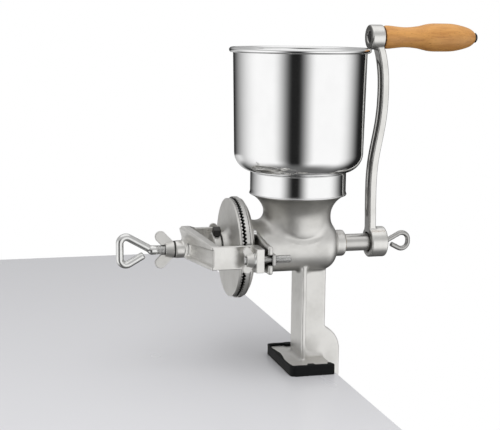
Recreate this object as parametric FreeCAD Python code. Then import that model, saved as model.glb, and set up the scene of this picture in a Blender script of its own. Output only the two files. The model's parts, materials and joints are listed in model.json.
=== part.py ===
import FreeCAD, Part
import os
from math import asin, atan2, cos, hypot, pi, radians, sin, sqrt

# Hand grain mill. Millimetres, +Z up, +X along the shaft towards the crank.
# The origin is under the hopper axis, on the underside of the clamp foot.

V = FreeCAD.Vector
X_AXIS = V(1, 0, 0)
Y_AXIS = V(0, 1, 0)
Z_AXIS = V(0, 0, 1)

# Clearances
RUN = 0.05            # radial clearance of a running fit
FREE = 0.3            # gap between faces that pass each other

# Shaft
SHAFT_Z = 135.0       # shaft axis above the underside of the foot
SHAFT_R = 9.5
SHAFT_NOSE_L = 7.5    # length of the shaft in front of its collar
TANG_STEP = 2.0       # step down to the turned end that carries the crank
TANG_INSET = 0.5      # how far the turned end stays inside the crank's hub
SQUARE = 14.0         # square on the shaft that drives the burr carrier
SQUARE_LEAD = 2.0     # length of the square behind the carrier
AUGER_PITCH = 30.0
AUGER_FLIGHT = 3.2    # thickness of the flight
AUGER_TURNS = 3.0
AUGER_SINK = 1.0      # depth of the flight's root in the shaft
AUGER_GAP = 1.5       # between the flight and the barrel's bore
AUGER_REAR_GAP = 3.0  # between the flight and the barrel's rear wall

# Grinding discs
DISC_R = 53.0
FIXED_BURR_STEP = 1.6   # how far the fixed burr's rim stands out past the moving one's
CARRIER_T = 2.2
MOVING_BURR_T = 2.8
FIXED_BURR_T = 5.6
BURR_GAP = 0.4
BURR_BORE_R = 20.0
TOOTH_COUNT = 72
TOOTH_DEPTH = 1.7
TOOTH_INNER_DEPTH = 0.85
TOOTH_SHARE = 0.86    # share of the pitch that each notch takes
TOOTH_BAND = 17.0     # width of the toothed band
DRIVE_PIN_R = 3.0
DRIVE_PIN_L = 3.0
DRIVE_PIN_INSET = 21.0  # from the disc's rim to the drive pins
BURR_SCREW_R = 2.5
BURR_SCREW_DEPTH = 3.3  # reach of each burr screw into the fixed burr
BURR_SCREW_INSET = 11.0 # from the disc's rim to the burr screws
BURR_SCREW_START = 60.0 # degrees from the top to the first burr screw
BURR_SCREW_HEAD_R = 4.4
BURR_SCREW_HEAD_T = 3.2
BURR_HEAD_GAP = 1.3     # between the burr screws' heads and the blend behind the flange
SCREW_SLOT_W = 1.2
SCREW_SLOT_DEPTH = 1.3
HUB_FLARE_R = 24.0
HUB_R = 16.0
HUB_L = 8.6
HUB_NECK_R = 12.5
HUB_NECK_L = 2.2
COLLAR_R = 16.5
COLLAR_L = 8.0
COLLAR_CHAMFER = 1.5
SET_SCREW_R = 3.0
SET_SCREW_HEAD = 8.0
SET_SCREW_HEAD_T = 7.2
SET_SCREW_GAP = 1.0    # between the collar and the set screw's head
SET_SCREW_TURN = 24.0
BALL_R = 4.5
BALL_SEAT = 3.0       # depth of the ball in each of its two seats

# Body casting
FLANGE_REAR_X = -60.3
BARREL_BORE_R = 22.5
BARREL_WALL = 6.1
BARREL_REAR_X = 42.0
BARREL_REAR_ROUND = 16.0
BARREL_REAR_WALL = 8.0
FLANGE_T = 6.4
FLANGE_RIM_T = 3.5
FLANGE_STEP = 4.5
REAR_BOSS_R = 14.5
REAR_BOSS_L = 11.5
REAR_BOSS_CHAMFER = 1.6
BUSH_WALL = 2.4
NECK_R = 36.8
NECK_TOP_R = 51.4
NECK_WALL = 4.5
NECK_WAIST_Z = 33.0   # height of the waist above the shaft axis
NECK_BELLY_Z = 22.0
NECK_TOP_Z = 56.2
LIP_H = 12.0

# Ears that hold the yoke bolts
EAR_T = 5.2
EAR_SET_BACK = 9.3    # from the flange's rear face to the ears' rear faces
EAR_HALF_H = 14.6
EAR_ROOT_HALF_H = 19.5
EAR_SINK = 5.3        # depth of the ears' roots in the barrel
EAR_TIP_L = 11.0      # length of each ear's parallel end
EAR_END = 8.0         # from the bolt's axis to the end of the ear
BOLT_R = 4.0
SLOT_GAP = 1.4        # between the bolt and the sides of the ear's slot

# Yoke
YOKE_LEG_GAP = 1.0    # between the fixed burr's rim and the yoke's legs
YOKE_LEG_T = 4.5
YOKE_HALF_H = 12.3
YOKE_CREST_Z = 24.8
YOKE_ROOT_Z = -8.6
YOKE_CORNER_REACH = 6.0 # from the front of the shaft's collar to the yoke's inner corners
YOKE_BOW = 18.0       # how far the yoke's middle stands in front of its corners
YOKE_ARM_T = 8.4
YOKE_CREST_BULGE = 2.4
YOKE_END_BULGE = 0.2
YOKE_LUG_T = 8.3
YOKE_LUG_GAP = 3.7
YOKE_BOSS_R = 9.4
YOKE_BOSS_L = 15.9
YOKE_BOSS_CHAMFER = 0.8
POCKET_DEPTH = 3.4
POCKET_RIM = 2.6

# Adjusting screw and its lock nut
SCREW_R = 5.0
SCREW_REACH = 24.6    # from the yoke's boss to the root of the eye
EYE_WIRE_R = 4.0
EYE_LENGTH = 38.2
EYE_HALF_WIDTH = 18.8
EYE_CORNER_R = 10.5
EYE_TAIL_GAP = 0.5
LOCK_WASHER_T = 1.2
LOCK_WASHER_R = 9.0

# Wing nuts
LOCK_HUB_R = 8.6
LOCK_HUB_L = 9.0
LOCK_WING_SPAN = 20.0
LOCK_WING_RISE = 20.0
LOCK_WING_TIP_R = 6.0
YOKE_NUT_HUB_R = 7.4
YOKE_NUT_HUB_L = 7.5
YOKE_NUT_WING_SPAN = 13.9
YOKE_NUT_WING_RISE = 11.5
YOKE_NUT_WING_TIP_R = 4.6
YOKE_NUT_GAP = 0.5    # between the yoke's leg and the wing nut as it turns
YOKE_WASHER_T = 1.4
YOKE_WASHER_R = 7.8
WING_T = 3.0
HUB_TAPER = 0.78      # front radius of a wing nut's hub as a share of its rear one
HUB_EDGE = 0.5
REAR_NUT_SIDE = 12.0
REAR_NUT_T = 4.0
BOLT_TAIL = 21.0      # length of each yoke bolt behind the ear
BOLT_TIP = 2.5        # length of each yoke bolt in front of its wing nut
BOLT_CHAMFER = 0.8

# Hopper
BOWL_TOP_R = 71.7
BOWL_TAPER = 2.0      # how much less the radius is at the foot
BOWL_ROLL_R = 2.75    # radius of the rolled rim
BOWL_HEIGHT = 132.5
BOWL_ROUND = 21.0
BOWL_WALL = 1.2
BOWL_LEDGE = 8.9      # width of the collar's ledge under the bowl
COLLAR_OVERHANG = 0.5 # how far the collar stands out past the neck
COLLAR_RING_H = 25.0
COLLAR_RING_WALL = 1.2
COLLAR_BEAD_R = 1.0
COLLAR_BEAD_REACH = 0.9

# Leg, foot and clamp
LEG_FACE_X = 0.9
LEG_FLANGE_T = 5.0
LEG_HALF_W = 20.5
WEB_T = 9.0           # thickness of the leg's web and of the clamp bracket
WEB_OVERHANG = 3.0    # how far the web reaches behind the foot
FOOT_FRONT_X = -16.0
FOOT_REAR_X = 30.0
FOOT_HALF_W = 45.6
FOOT_T = 7.0
FOOT_CORNER_R = 3.2
BOOT_FLOOR = 2.0
BOOT_WALL = 3.2
BOOT_LIP = 1.4
BOOT_LIP_T = 1.6
BOOT_LIP_GAP = 1.1    # between the foot and the boot's lip
BOOT_TABS = ((29.0, 7.5), (6.0, 4.5))  # start from the open side, and length
BOOT_TAB_REACH = 3.7
BOOT_TAB_RISE = 0.4
FRAME_SET_BACK = 7.0  # from the foot's rear edge to the bracket
FRAME_DEPTH = 13.3
FRAME_SHOULDER_Z = 42.0
FRAME_ELBOW_Z = 17.5
FRAME_ELBOW_BULGE = 4.0 # height of the bracket's round shoulder over a straight slant
FRAME_CORNER = 12.0
FRAME_INNER_CORNER = 5.0
FRAME_ROOT = 12.0     # overlap of the clamp bracket with the foot and the web
THROAT = 58.0         # from the underside of the foot down to the lower jaw
JAW_H = 18.0
JAW_BOSS_R = 13.0
CLAMP_INSET = 22.0    # from the foot's front edge to the clamp screw
CLAMP_SCREW_R = 6.0
CLAMP_GRIP = 25.0     # thickness of table top that is held as stored
CLAMP_CLOSE = 17.0    # further closing travel of the clamp
CLAMP_TIP_R = 4.5
PAD_R = 16.0
PAD_T = 4.5
PAD_HUB_R = 9.0
PAD_HUB_H = 6.5
CLAMP_EYE_LENGTH = 32.0
CLAMP_EYE_HALF_WIDTH = 18.0
CLAMP_EYE_GAP = 2.0   # between the lower jaw and the eye with the clamp closed

# Crank and grip
CRANK_RADIUS = 225.2
CRANK_HUB_R = 16.9
CRANK_SET_OUT = 4.1   # from the grip's boss out to the hub
CRANK_HUB_L = 19.5
CRANK_SOCKET = 4.0
CRANK_SOCKET_GAP = 1.2
CRANK_SWEEP = 10.6    # sideways bow of the arm
ARM_T = 8.2
ARM_W = 16.0
ARM_SET_BACK = 1.4    # offset of the arm's root from the hub's rear face
CRANK_END_R = 13.4
CRANK_RIM_GAP = 1.4   # between the hopper's rim and the grip's boss
CRANK_END_L = 15.4
CRANK_SCREW_R = 2.7
CRANK_SCREW_DEPTH = 14.0
CRANK_SCREW_TIP_GAP = 1.0
CRANK_SCREW_FLANGE_R = 4.6
CRANK_SCREW_FLANGE_T = 1.2
CRANK_SCREW_NECK = 2.4
CRANK_EYE_LENGTH = 29.3
CRANK_EYE_HALF_WIDTH = 11.6
CRANK_EYE_CORNER_R = 10.4
HANDLE_BOLT_R = 3.2
HANDLE_NUT_R = 5.6
HANDLE_NUT_T = 4.0
NUT_WELL_DEPTH = 4.8
NUT_WELL_GAP = 0.8
HANDLE_HEAD_R = 5.4
HANDLE_HEAD_T = 2.9
HANDLE_HEAD_CHAMFER = 1.1
HANDLE_BOLT_INSET = 0.6
HANDLE_WASHER_T = 1.0
HANDLE_WASHER_R = 8.5
GRIP_L = 106.4
GRIP_END_R = 12.6
GRIP_NECK_R = 10.9
GRIP_BELLY_R = 15.3
GRIP_SHOULDER_R = 12.7 # where the belly starts to close
GRIP_TIP_R = 7.6
GRIP_TIP_ROUND = 1.6
GRIP_END_ROUND = 0.8

# Radii and places across the shaft, worked out from the sizes above
TANG_R = SHAFT_R - TANG_STEP
BARREL_R = BARREL_BORE_R + BARREL_WALL
AUGER_R = BARREL_BORE_R - AUGER_GAP
FLANGE_R = DISC_R
FIXED_BURR_R = DISC_R + FIXED_BURR_STEP
TOOTH_INNER_R = DISC_R - TOOTH_BAND
DRIVE_PIN_CIRCLE_R = DISC_R - DRIVE_PIN_INSET
BURR_SCREW_CIRCLE_R = DISC_R - BURR_SCREW_INSET
FLANGE_BLEND = BURR_SCREW_CIRCLE_R - BURR_SCREW_HEAD_R - BURR_HEAD_GAP - BARREL_R
COLLAR_RING_R = NECK_TOP_R + COLLAR_OVERHANG
BOWL_OUTLET_R = COLLAR_RING_R - BOWL_LEDGE
BOWL_FOOT_R = BOWL_TOP_R - BOWL_TAPER
BOWL_RIM_R = BOWL_TOP_R - BOWL_WALL + 2 * BOWL_ROLL_R
YOKE_LEG_Y = FIXED_BURR_R + YOKE_LEG_GAP
BOLT_Y = YOKE_LEG_Y + YOKE_LEG_T + YOKE_NUT_GAP + YOKE_NUT_WING_SPAN
EAR_ROOT_Y = BARREL_R - EAR_SINK
EAR_REACH = BOLT_Y + EAR_END
EAR_KNEE_Y = EAR_REACH - EAR_TIP_L
SLOT_HALF_H = BOLT_R + SLOT_GAP

# Places along the shaft, from the flange forwards
FLANGE_FRONT_X = FLANGE_REAR_X - FLANGE_T
FIXED_BURR_FRONT_X = FLANGE_FRONT_X - FIXED_BURR_T
MOVING_BURR_REAR_X = FIXED_BURR_FRONT_X - BURR_GAP
CARRIER_REAR_X = MOVING_BURR_REAR_X - MOVING_BURR_T
CARRIER_FRONT_X = CARRIER_REAR_X - CARRIER_T
COLLAR_REAR_X = CARRIER_FRONT_X - HUB_L - HUB_NECK_L
COLLAR_FRONT_X = COLLAR_REAR_X - COLLAR_L
SHAFT_FRONT_X = COLLAR_FRONT_X - SHAFT_NOSE_L
BALL_X = SHAFT_FRONT_X - BALL_R + BALL_SEAT
SCREW_TIP_X = BALL_X - BALL_R + BALL_SEAT
EAR_REAR_X = FLANGE_REAR_X + EAR_SET_BACK
EAR_FRONT_X = EAR_REAR_X - EAR_T
LUG_REAR_X = EAR_FRONT_X - YOKE_LUG_GAP
LUG_FRONT_X = LUG_REAR_X - YOKE_LUG_T
YOKE_CORNER_X = COLLAR_FRONT_X - YOKE_CORNER_REACH
YOKE_APEX_X = YOKE_CORNER_X - YOKE_BOW
YOKE_BOSS_END_X = YOKE_APEX_X - YOKE_BOSS_L
SCREW_EYE_X = YOKE_BOSS_END_X - SCREW_REACH

# Places at the crank's end
BARREL_END_X = BARREL_REAR_X - BARREL_REAR_WALL
AUGER_REAR_X = BARREL_END_X - AUGER_REAR_GAP
REAR_BOSS_END_X = BARREL_REAR_X + REAR_BOSS_L
HANDLE_Z = SHAFT_Z + CRANK_RADIUS
CRANK_END_X = BOWL_RIM_R + CRANK_RIM_GAP
CRANK_HUB_X = CRANK_END_X + CRANK_SET_OUT
CRANK_HUB_END_X = CRANK_HUB_X + CRANK_HUB_L
CRANK_END_REAR_X = CRANK_END_X + CRANK_END_L
GRIP_X = CRANK_END_REAR_X + HANDLE_WASHER_T + FREE
GRIP_END_X = GRIP_X + GRIP_L

# Heights, and places at the foot
COLLAR_RING_Z = SHAFT_Z + NECK_TOP_Z
BOWL_Z = COLLAR_RING_Z + COLLAR_RING_H
FOOT_TOP_Z = BOOT_FLOOR + FOOT_T
BOOT_HEIGHT = FOOT_TOP_Z + BOOT_LIP_GAP + BOOT_LIP_T
WEB_REAR_X = FOOT_REAR_X + WEB_OVERHANG
FRAME_INNER_X = FOOT_REAR_X + FRAME_SET_BACK
FRAME_OUTER_X = FRAME_INNER_X + FRAME_DEPTH
CLAMP_X = FOOT_FRONT_X + CLAMP_INSET
PAD_Z = -CLAMP_GRIP
JAW_Z = -THROAT - JAW_H
CLAMP_EYE_Z = JAW_Z - CLAMP_CLOSE - CLAMP_EYE_GAP


def rod(x, length, radius, y=0.0, z=SHAFT_Z):
    """A cylinder along X from x."""
    return Part.makeCylinder(radius, length, V(x, y, z), X_AXIS)


def post(x, y, z, height, radius):
    """A cylinder along Z from z."""
    return Part.makeCylinder(radius, height, V(x, y, z), Z_AXIS)


def block(x0, x1, y0, y1, z0, z1):
    return Part.makeBox(x1 - x0, y1 - y0, z1 - z0, V(x0, y0, z0))


def turned(edges, axis_point, axis):
    """A solid of revolution from the closed outline's edges."""
    return Part.Face(Part.Wire(edges)).revolve(axis_point, axis, 360)


def outline(points):
    """Straight edges through the points and back to the first."""
    loop = points + points[:1]
    return [Part.LineSegment(a, b).toShape() for a, b in zip(loop, loop[1:])]


def prism(points, direction):
    return Part.Face(Part.Wire(outline(points))).extrude(direction)


def arc(a, b, c):
    return Part.Arc(a, b, c).toShape()


def line(a, b):
    return Part.LineSegment(a, b).toShape()


def mirrored(shape):
    """The same piece on the far side of the shaft."""
    return shape.mirror(V(0, 0, 0), Y_AXIS)


def joined(shapes):
    result = shapes[0]
    for shape in shapes[1:]:
        result = result.fuse(shape)
    return result.removeSplitter()


def eye(root, along, across, length, half_width, corner_r, wire_r):
    """A three-cornered eye of bent rod. Its sizes are the outer ones."""
    bend = corner_r - wire_r
    far = length - wire_r - bend
    side = half_width - wire_r - bend
    lean = atan2(side, far) + asin(bend / hypot(side, far))

    def corner(sign):
        """Start, middle and end of one corner's arc."""
        turns = (-lean, (pi / 2 - lean) / 2, pi / 2)
        return [
            root + along * (far + bend * sin(turn)) + across * (sign * (side + bend * cos(turn)))
            for turn in turns
        ]

    up = corner(1)
    down = corner(-1)
    gap = (2 * wire_r + EYE_TAIL_GAP) / sin(2 * lean)
    tail = root + (down[0] - root).normalize() * gap
    path = Part.Wire([
        line(root, up[0]), arc(*up), line(up[2], down[2]), arc(*reversed(down)), line(down[0], tail),
    ])
    section = Part.Wire(Part.makeCircle(wire_r, root, (up[0] - root).normalize()))
    return path.makePipeShell([section], True, False)


# Body casting

def barrel_outside():
    top = SHAFT_Z + BARREL_R
    rear = BARREL_REAR_X
    turn = BARREL_REAR_ROUND
    slant = turn * (1 - sqrt(0.5))
    a = V(FLANGE_FRONT_X, 0, SHAFT_Z)
    b = V(FLANGE_FRONT_X, 0, top)
    c = V(rear - turn, 0, top)
    d = V(rear - slant, 0, top - slant)
    e = V(rear, 0, top - turn)
    f = V(rear, 0, SHAFT_Z)
    edges = [line(a, b), line(b, c), arc(c, d, e), line(e, f), line(f, a)]
    return turned(edges, V(0, 0, SHAFT_Z), X_AXIS)


def flange():
    plate = rod(FLANGE_FRONT_X, FLANGE_RIM_T, FLANGE_R)
    step = rod(FLANGE_FRONT_X + FLANGE_RIM_T, FLANGE_T - FLANGE_RIM_T, FLANGE_R - FLANGE_STEP)
    root = V(FLANGE_REAR_X, 0, SHAFT_Z)
    cone = Part.makeCone(BARREL_R + FLANGE_BLEND, BARREL_R, FLANGE_BLEND, root, X_AXIS)
    return plate.fuse(step).fuse(cone)


def neck_profile(shrink, top_z, low_z):
    """Outline of the neck, drawn in by shrink all round."""
    waist = SHAFT_Z + NECK_WAIST_Z
    top = SHAFT_Z + NECK_TOP_Z
    rise = top - waist
    step = NECK_TOP_R - NECK_R
    bend = (rise ** 2 + step ** 2) / (2 * step)
    centre_r = NECK_R + bend
    half = rise * 0.5
    mid_r = centre_r - sqrt(bend ** 2 - half ** 2)
    belly = SHAFT_Z + NECK_BELLY_Z
    rounding = NECK_BELLY_Z
    drop = rounding * sqrt(0.5)
    low_r = NECK_R - rounding
    a = V(0, 0, low_z)
    b = V(low_r - shrink, 0, low_z)
    c = V(low_r - shrink + drop, 0, belly - drop + shrink * 0.3)
    d = V(NECK_R - shrink, 0, belly)
    e = V(NECK_R - shrink, 0, waist)
    f = V(mid_r - shrink, 0, waist + half)
    g = V(NECK_TOP_R - shrink, 0, top)
    h = V(NECK_TOP_R - shrink, 0, top_z)
    i = V(0, 0, top_z)
    edges = [line(a, b), arc(b, c, d), line(d, e), arc(e, f, g)]
    if top_z > top:
        edges.append(line(g, h))
    edges += [line(h, i), line(i, a)]
    return edges


def neck_outside():
    body = turned(neck_profile(0, SHAFT_Z + NECK_TOP_Z, SHAFT_Z), V(0, 0, 0), Z_AXIS)
    lip_r = COLLAR_RING_R - COLLAR_RING_WALL - FREE
    lip = post(0, 0, SHAFT_Z + NECK_TOP_Z, LIP_H, lip_r)
    return body.fuse(lip)


def neck_inside():
    top = SHAFT_Z + NECK_TOP_Z + LIP_H + 1
    return turned(neck_profile(NECK_WALL, top, SHAFT_Z + 1), V(0, 0, 0), Z_AXIS)


def ear():
    """The near ear: a tapered arm whose open slot takes the yoke bolt."""
    x = EAR_FRONT_X
    z = SHAFT_Z
    upper = [
        V(x, -EAR_ROOT_Y, z + EAR_ROOT_HALF_H),
        V(x, -EAR_KNEE_Y, z + EAR_HALF_H),
        V(x, -EAR_REACH, z + EAR_HALF_H),
    ]
    lower = [V(point.x, point.y, 2 * z - point.z) for point in reversed(upper)]
    plate = prism(upper + lower, X_AXIS * EAR_T)
    slot_end = rod(x - 1, EAR_T + 2, SLOT_HALF_H, -BOLT_Y)
    slot = block(x - 1, x + EAR_T + 1, -EAR_REACH - 1, -BOLT_Y, z - SLOT_HALF_H, z + SLOT_HALF_H)
    return plate.cut(slot_end).cut(slot)


def leg():
    low = BOOT_FLOOR
    high = SHAFT_Z - BARREL_R * 0.6
    face = block(LEG_FACE_X, LEG_FACE_X + LEG_FLANGE_T, -LEG_HALF_W, LEG_HALF_W, low, high)
    half = WEB_T / 2
    web = block(LEG_FACE_X, WEB_REAR_X, -half, half, low, high)
    return face.fuse(web)


def foot():
    plate = block(FOOT_FRONT_X, FOOT_REAR_X, -FOOT_HALF_W, FOOT_HALF_W, BOOT_FLOOR, FOOT_TOP_Z)
    return plate.makeFillet(FOOT_CORNER_R, upright_edges(plate, 0))


def clamp_frame():
    """Bracket that passes down behind the table edge to the lower jaw."""
    y = -WEB_T / 2
    jaw_top = -THROAT
    shoulder = V(WEB_REAR_X, y, FRAME_SHOULDER_Z)
    elbow = V(FRAME_OUTER_X, y, FRAME_ELBOW_Z)
    middle = (shoulder + elbow) * 0.5
    crown = V(middle.x + FRAME_ELBOW_BULGE * 0.5, y, middle.z + FRAME_ELBOW_BULGE)
    points = [
        elbow,
        V(FRAME_OUTER_X, y, JAW_Z + FRAME_CORNER),
        V(FRAME_OUTER_X - FRAME_CORNER, y, JAW_Z),
        V(CLAMP_X, y, JAW_Z),
        V(CLAMP_X, y, jaw_top),
        V(FRAME_INNER_X - FRAME_INNER_CORNER, y, jaw_top),
        V(FRAME_INNER_X, y, jaw_top + FRAME_INNER_CORNER),
        V(FRAME_INNER_X, y, BOOT_FLOOR - FRAME_INNER_CORNER),
        V(FOOT_REAR_X, y, BOOT_FLOOR),
        V(FOOT_REAR_X - FRAME_ROOT, y, BOOT_FLOOR),
        V(FOOT_REAR_X - FRAME_ROOT, y, FRAME_SHOULDER_Z - FRAME_ROOT),
        shoulder,
    ]
    edges = [line(a, b) for a, b in zip(points, points[1:])]
    edges.append(arc(shoulder, crown, elbow))
    frame = Part.Face(Part.Wire(edges)).extrude(Y_AXIS * WEB_T)
    boss = post(CLAMP_X, 0, JAW_Z, JAW_H, JAW_BOSS_R)
    return frame.fuse(boss)


def body_casting():
    rear_boss = rod(BARREL_REAR_X - 1, REAR_BOSS_L + 1, REAR_BOSS_R)
    rim = [edge for edge in rear_boss.Edges if edge.CenterOfMass.x > REAR_BOSS_END_X - 0.01]
    rear_boss = rear_boss.makeChamfer(REAR_BOSS_CHAMFER, rim)
    shell = joined([
        barrel_outside(), flange(), neck_outside(), ear(), mirrored(ear()),
        leg(), foot(), clamp_frame(), rear_boss,
    ])
    cavity = rod(FLANGE_FRONT_X - 1, BARREL_END_X - FLANGE_FRONT_X + 1, BARREL_BORE_R)
    bush_hole = rod(BARREL_END_X - 1, REAR_BOSS_END_X - BARREL_END_X + 2, SHAFT_R + RUN + BUSH_WALL)
    clamp_hole = post(CLAMP_X, 0, JAW_Z - 1, JAW_H + 2, CLAMP_SCREW_R + RUN)
    shell = shell.cut(cavity).cut(neck_inside()).cut(bush_hole).cut(clamp_hole)
    for hole in burr_screw_shanks():
        shell = shell.cut(hole)
    return shell


def rear_bushing():
    length = REAR_BOSS_END_X - BARREL_END_X
    wall = rod(BARREL_END_X, length, SHAFT_R + RUN + BUSH_WALL)
    return wall.cut(rod(BARREL_END_X - 1, length + 2, SHAFT_R + RUN))


# Fixed burr and its screws

def around_shaft(shape, count, start=0.0):
    """Copies of a shape spaced evenly round the shaft axis."""
    copies = []
    for index in range(count):
        copy = shape.copy()
        copy.rotate(V(0, 0, SHAFT_Z), X_AXIS, start + index * 360 / count)
        copies.append(copy)
    return copies


def tooth_grooves(face_x, side, rim_r):
    """Radial notches cut into a burr face; side is +1 to cut towards +X."""
    outer_r = rim_r + 1
    half = pi * outer_r / TOOTH_COUNT * TOOTH_SHARE
    proud = -0.2 * side

    def corner(radius, half_width, depth):
        return Part.Wire(outline([
            V(face_x + proud, -half_width, SHAFT_Z + radius),
            V(face_x + proud, half_width, SHAFT_Z + radius),
            V(face_x + depth * side, 0, SHAFT_Z + radius),
        ]))

    inner = corner(TOOTH_INNER_R, half * TOOTH_INNER_R / outer_r, TOOTH_INNER_DEPTH)
    outer = corner(outer_r, half, TOOTH_DEPTH)
    notch = Part.makeLoft([inner, outer], True, True)
    return Part.makeCompound(around_shaft(notch, TOOTH_COUNT))


def burr(x, thickness, rim_r, face_x, side):
    disc = rod(x, thickness, rim_r).cut(rod(x - 1, thickness + 2, BURR_BORE_R))
    return disc.cut(tooth_grooves(face_x, side, rim_r))


def fixed_burr():
    disc = burr(FIXED_BURR_FRONT_X, FIXED_BURR_T, FIXED_BURR_R, FIXED_BURR_FRONT_X, 1)
    for hole in burr_screw_shanks():
        disc = disc.cut(hole)
    return disc


def burr_screw_shank():
    start = FLANGE_FRONT_X - BURR_SCREW_DEPTH
    return rod(start, FLANGE_REAR_X - start, BURR_SCREW_R, 0, SHAFT_Z + BURR_SCREW_CIRCLE_R)


def burr_screw_shanks():
    return around_shaft(burr_screw_shank(), 3, BURR_SCREW_START)


def burr_screws():
    z = SHAFT_Z + BURR_SCREW_CIRCLE_R
    end = FLANGE_REAR_X + BURR_SCREW_HEAD_T
    half = SCREW_SLOT_W / 2
    head = rod(FLANGE_REAR_X, BURR_SCREW_HEAD_T, BURR_SCREW_HEAD_R, 0, z)
    slot = block(end - SCREW_SLOT_DEPTH, end + 1, -BURR_SCREW_HEAD_R, BURR_SCREW_HEAD_R, z - half, z + half)
    return around_shaft(burr_screw_shank().fuse(head.cut(slot)), 3, BURR_SCREW_START)


# Shaft and what turns with it

def moving_burr():
    disc = burr(CARRIER_REAR_X, MOVING_BURR_T, DISC_R, MOVING_BURR_REAR_X, -1)
    for pin in drive_pin_shapes():
        disc = disc.cut(pin)
    return disc


def drive_pin_shapes():
    start = CARRIER_REAR_X - DRIVE_PIN_L / 2
    pin = rod(start, DRIVE_PIN_L, DRIVE_PIN_R, 0, SHAFT_Z + DRIVE_PIN_CIRCLE_R)
    return around_shaft(pin, 3)


def burr_carrier():
    """Disc with a flared hub that runs down to a short neck."""
    face = CARRIER_FRONT_X
    nose = face - HUB_L
    neck = nose - HUB_NECK_L
    bend = HUB_FLARE_R - HUB_R
    mid = bend * (1 - sqrt(0.5))
    z = SHAFT_Z
    a = V(CARRIER_REAR_X, 0, z)
    b = V(CARRIER_REAR_X, 0, z + DISC_R)
    c = V(face, 0, z + DISC_R)
    d = V(face, 0, z + HUB_FLARE_R)
    e = V(face - mid, 0, z + HUB_R + mid)
    f = V(face - bend, 0, z + HUB_R)
    g = V(nose, 0, z + HUB_R)
    h = V(nose, 0, z + HUB_NECK_R)
    i = V(neck, 0, z + HUB_NECK_R)
    j = V(neck, 0, z)
    edges = [line(a, b), line(b, c), line(c, d), arc(d, e, f)]
    edges += [line(f, g), line(g, h), line(h, i), line(i, j), line(j, a)]
    disc = turned(edges, V(0, 0, z), X_AXIS)
    half = SQUARE / 2
    disc = disc.cut(block(neck - 1, CARRIER_REAR_X + 1, -half, half, z - half, z + half))
    for pin in drive_pin_shapes():
        disc = disc.cut(pin)
    return disc


def auger_flight():
    length = AUGER_PITCH * AUGER_TURNS
    start = AUGER_REAR_X - length
    root_r = SHAFT_R - AUGER_SINK
    helix = Part.makeHelix(AUGER_PITCH, length, root_r)
    half = AUGER_FLIGHT / 2
    section = Part.Wire(outline([
        V(root_r, 0, -half),
        V(AUGER_R, 0, -half * 0.7),
        V(AUGER_R, 0, half * 0.7),
        V(root_r, 0, half),
    ]))
    flight = helix.makePipeShell([section], True, True)
    flight.rotate(V(0, 0, 0), Y_AXIS, 90)
    flight.translate(V(start, 0, SHAFT_Z))
    return flight


def drive_shaft():
    z = SHAFT_Z
    square_end = CARRIER_REAR_X + SQUARE_LEAD
    tang_x = CRANK_HUB_X + CRANK_SOCKET
    main = rod(square_end, tang_x - square_end, SHAFT_R)
    half = SQUARE / 2
    square = block(COLLAR_REAR_X, square_end, -half, half, z - half, z + half)
    nose = rod(SHAFT_FRONT_X, COLLAR_REAR_X - SHAFT_FRONT_X, SQUARE / 2)
    tang = rod(tang_x, CRANK_HUB_END_X - tang_x - TANG_INSET, TANG_R)
    shaft = joined([main, square, nose, tang, auger_flight()])
    seat = Part.makeSphere(BALL_R + RUN, V(BALL_X, 0, z))
    screw_hole = rod(CRANK_HUB_END_X - CRANK_SCREW_DEPTH, CRANK_SCREW_DEPTH + 1, CRANK_SCREW_R + RUN)
    return shaft.cut(seat).cut(screw_hole)


def shaft_collar():
    ring = rod(COLLAR_FRONT_X, COLLAR_L, COLLAR_R)
    rim = [edge for edge in ring.Edges if edge.CenterOfMass.x < COLLAR_FRONT_X + 0.01]
    ring = ring.makeChamfer(COLLAR_CHAMFER, rim)
    bore = rod(COLLAR_FRONT_X - 1, COLLAR_L + 2, SQUARE / 2)
    return ring.cut(bore).cut(set_screw_shank())


def set_screw_shank():
    centre = (COLLAR_FRONT_X + COLLAR_REAR_X) / 2
    length = COLLAR_R + SET_SCREW_GAP - SQUARE / 2
    shank = post(centre, 0, SHAFT_Z + SQUARE / 2, length, SET_SCREW_R)
    shank.rotate(V(centre, 0, SHAFT_Z), X_AXIS, SET_SCREW_TURN)
    return shank


def collar_set_screw():
    centre = (COLLAR_FRONT_X + COLLAR_REAR_X) / 2
    half = SET_SCREW_HEAD / 2
    base = SHAFT_Z + COLLAR_R + SET_SCREW_GAP
    head = block(centre - half, centre + half, -half, half, base, base + SET_SCREW_HEAD_T)
    head.rotate(V(centre, 0, SHAFT_Z), X_AXIS, SET_SCREW_TURN)
    return set_screw_shank().fuse(head)


def thrust_ball():
    return Part.makeSphere(BALL_R, V(BALL_X, 0, SHAFT_Z))


# Yoke

def yoke_arm():
    """Near arm: a bar that rises from the leg to the crest at the boss."""
    y1 = -(YOKE_LEG_Y + YOKE_LEG_T)
    z = SHAFT_Z

    def section(y, inner, outer, low, high, bulge):
        return Part.Wire(outline([
            V(inner, y, z + low),
            V(inner, y, z + high),
            V(outer, y, z + high),
            V(outer - bulge, y, z + high - bulge * 1.2),
            V(outer, y, z + high * 0.55),
            V(outer, y, z + low),
        ]))

    apex = section(0, YOKE_APEX_X, YOKE_APEX_X - YOKE_ARM_T, YOKE_ROOT_Z, YOKE_CREST_Z, YOKE_CREST_BULGE)
    slope = (YOKE_CORNER_X - YOKE_APEX_X) / YOKE_LEG_Y
    inner_end = YOKE_APEX_X + slope * -y1
    outer_end = inner_end - YOKE_ARM_T
    end = section(y1, inner_end, outer_end, -YOKE_HALF_H, YOKE_HALF_H, YOKE_END_BULGE)
    return Part.makeLoft([apex, end], True, True)


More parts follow.
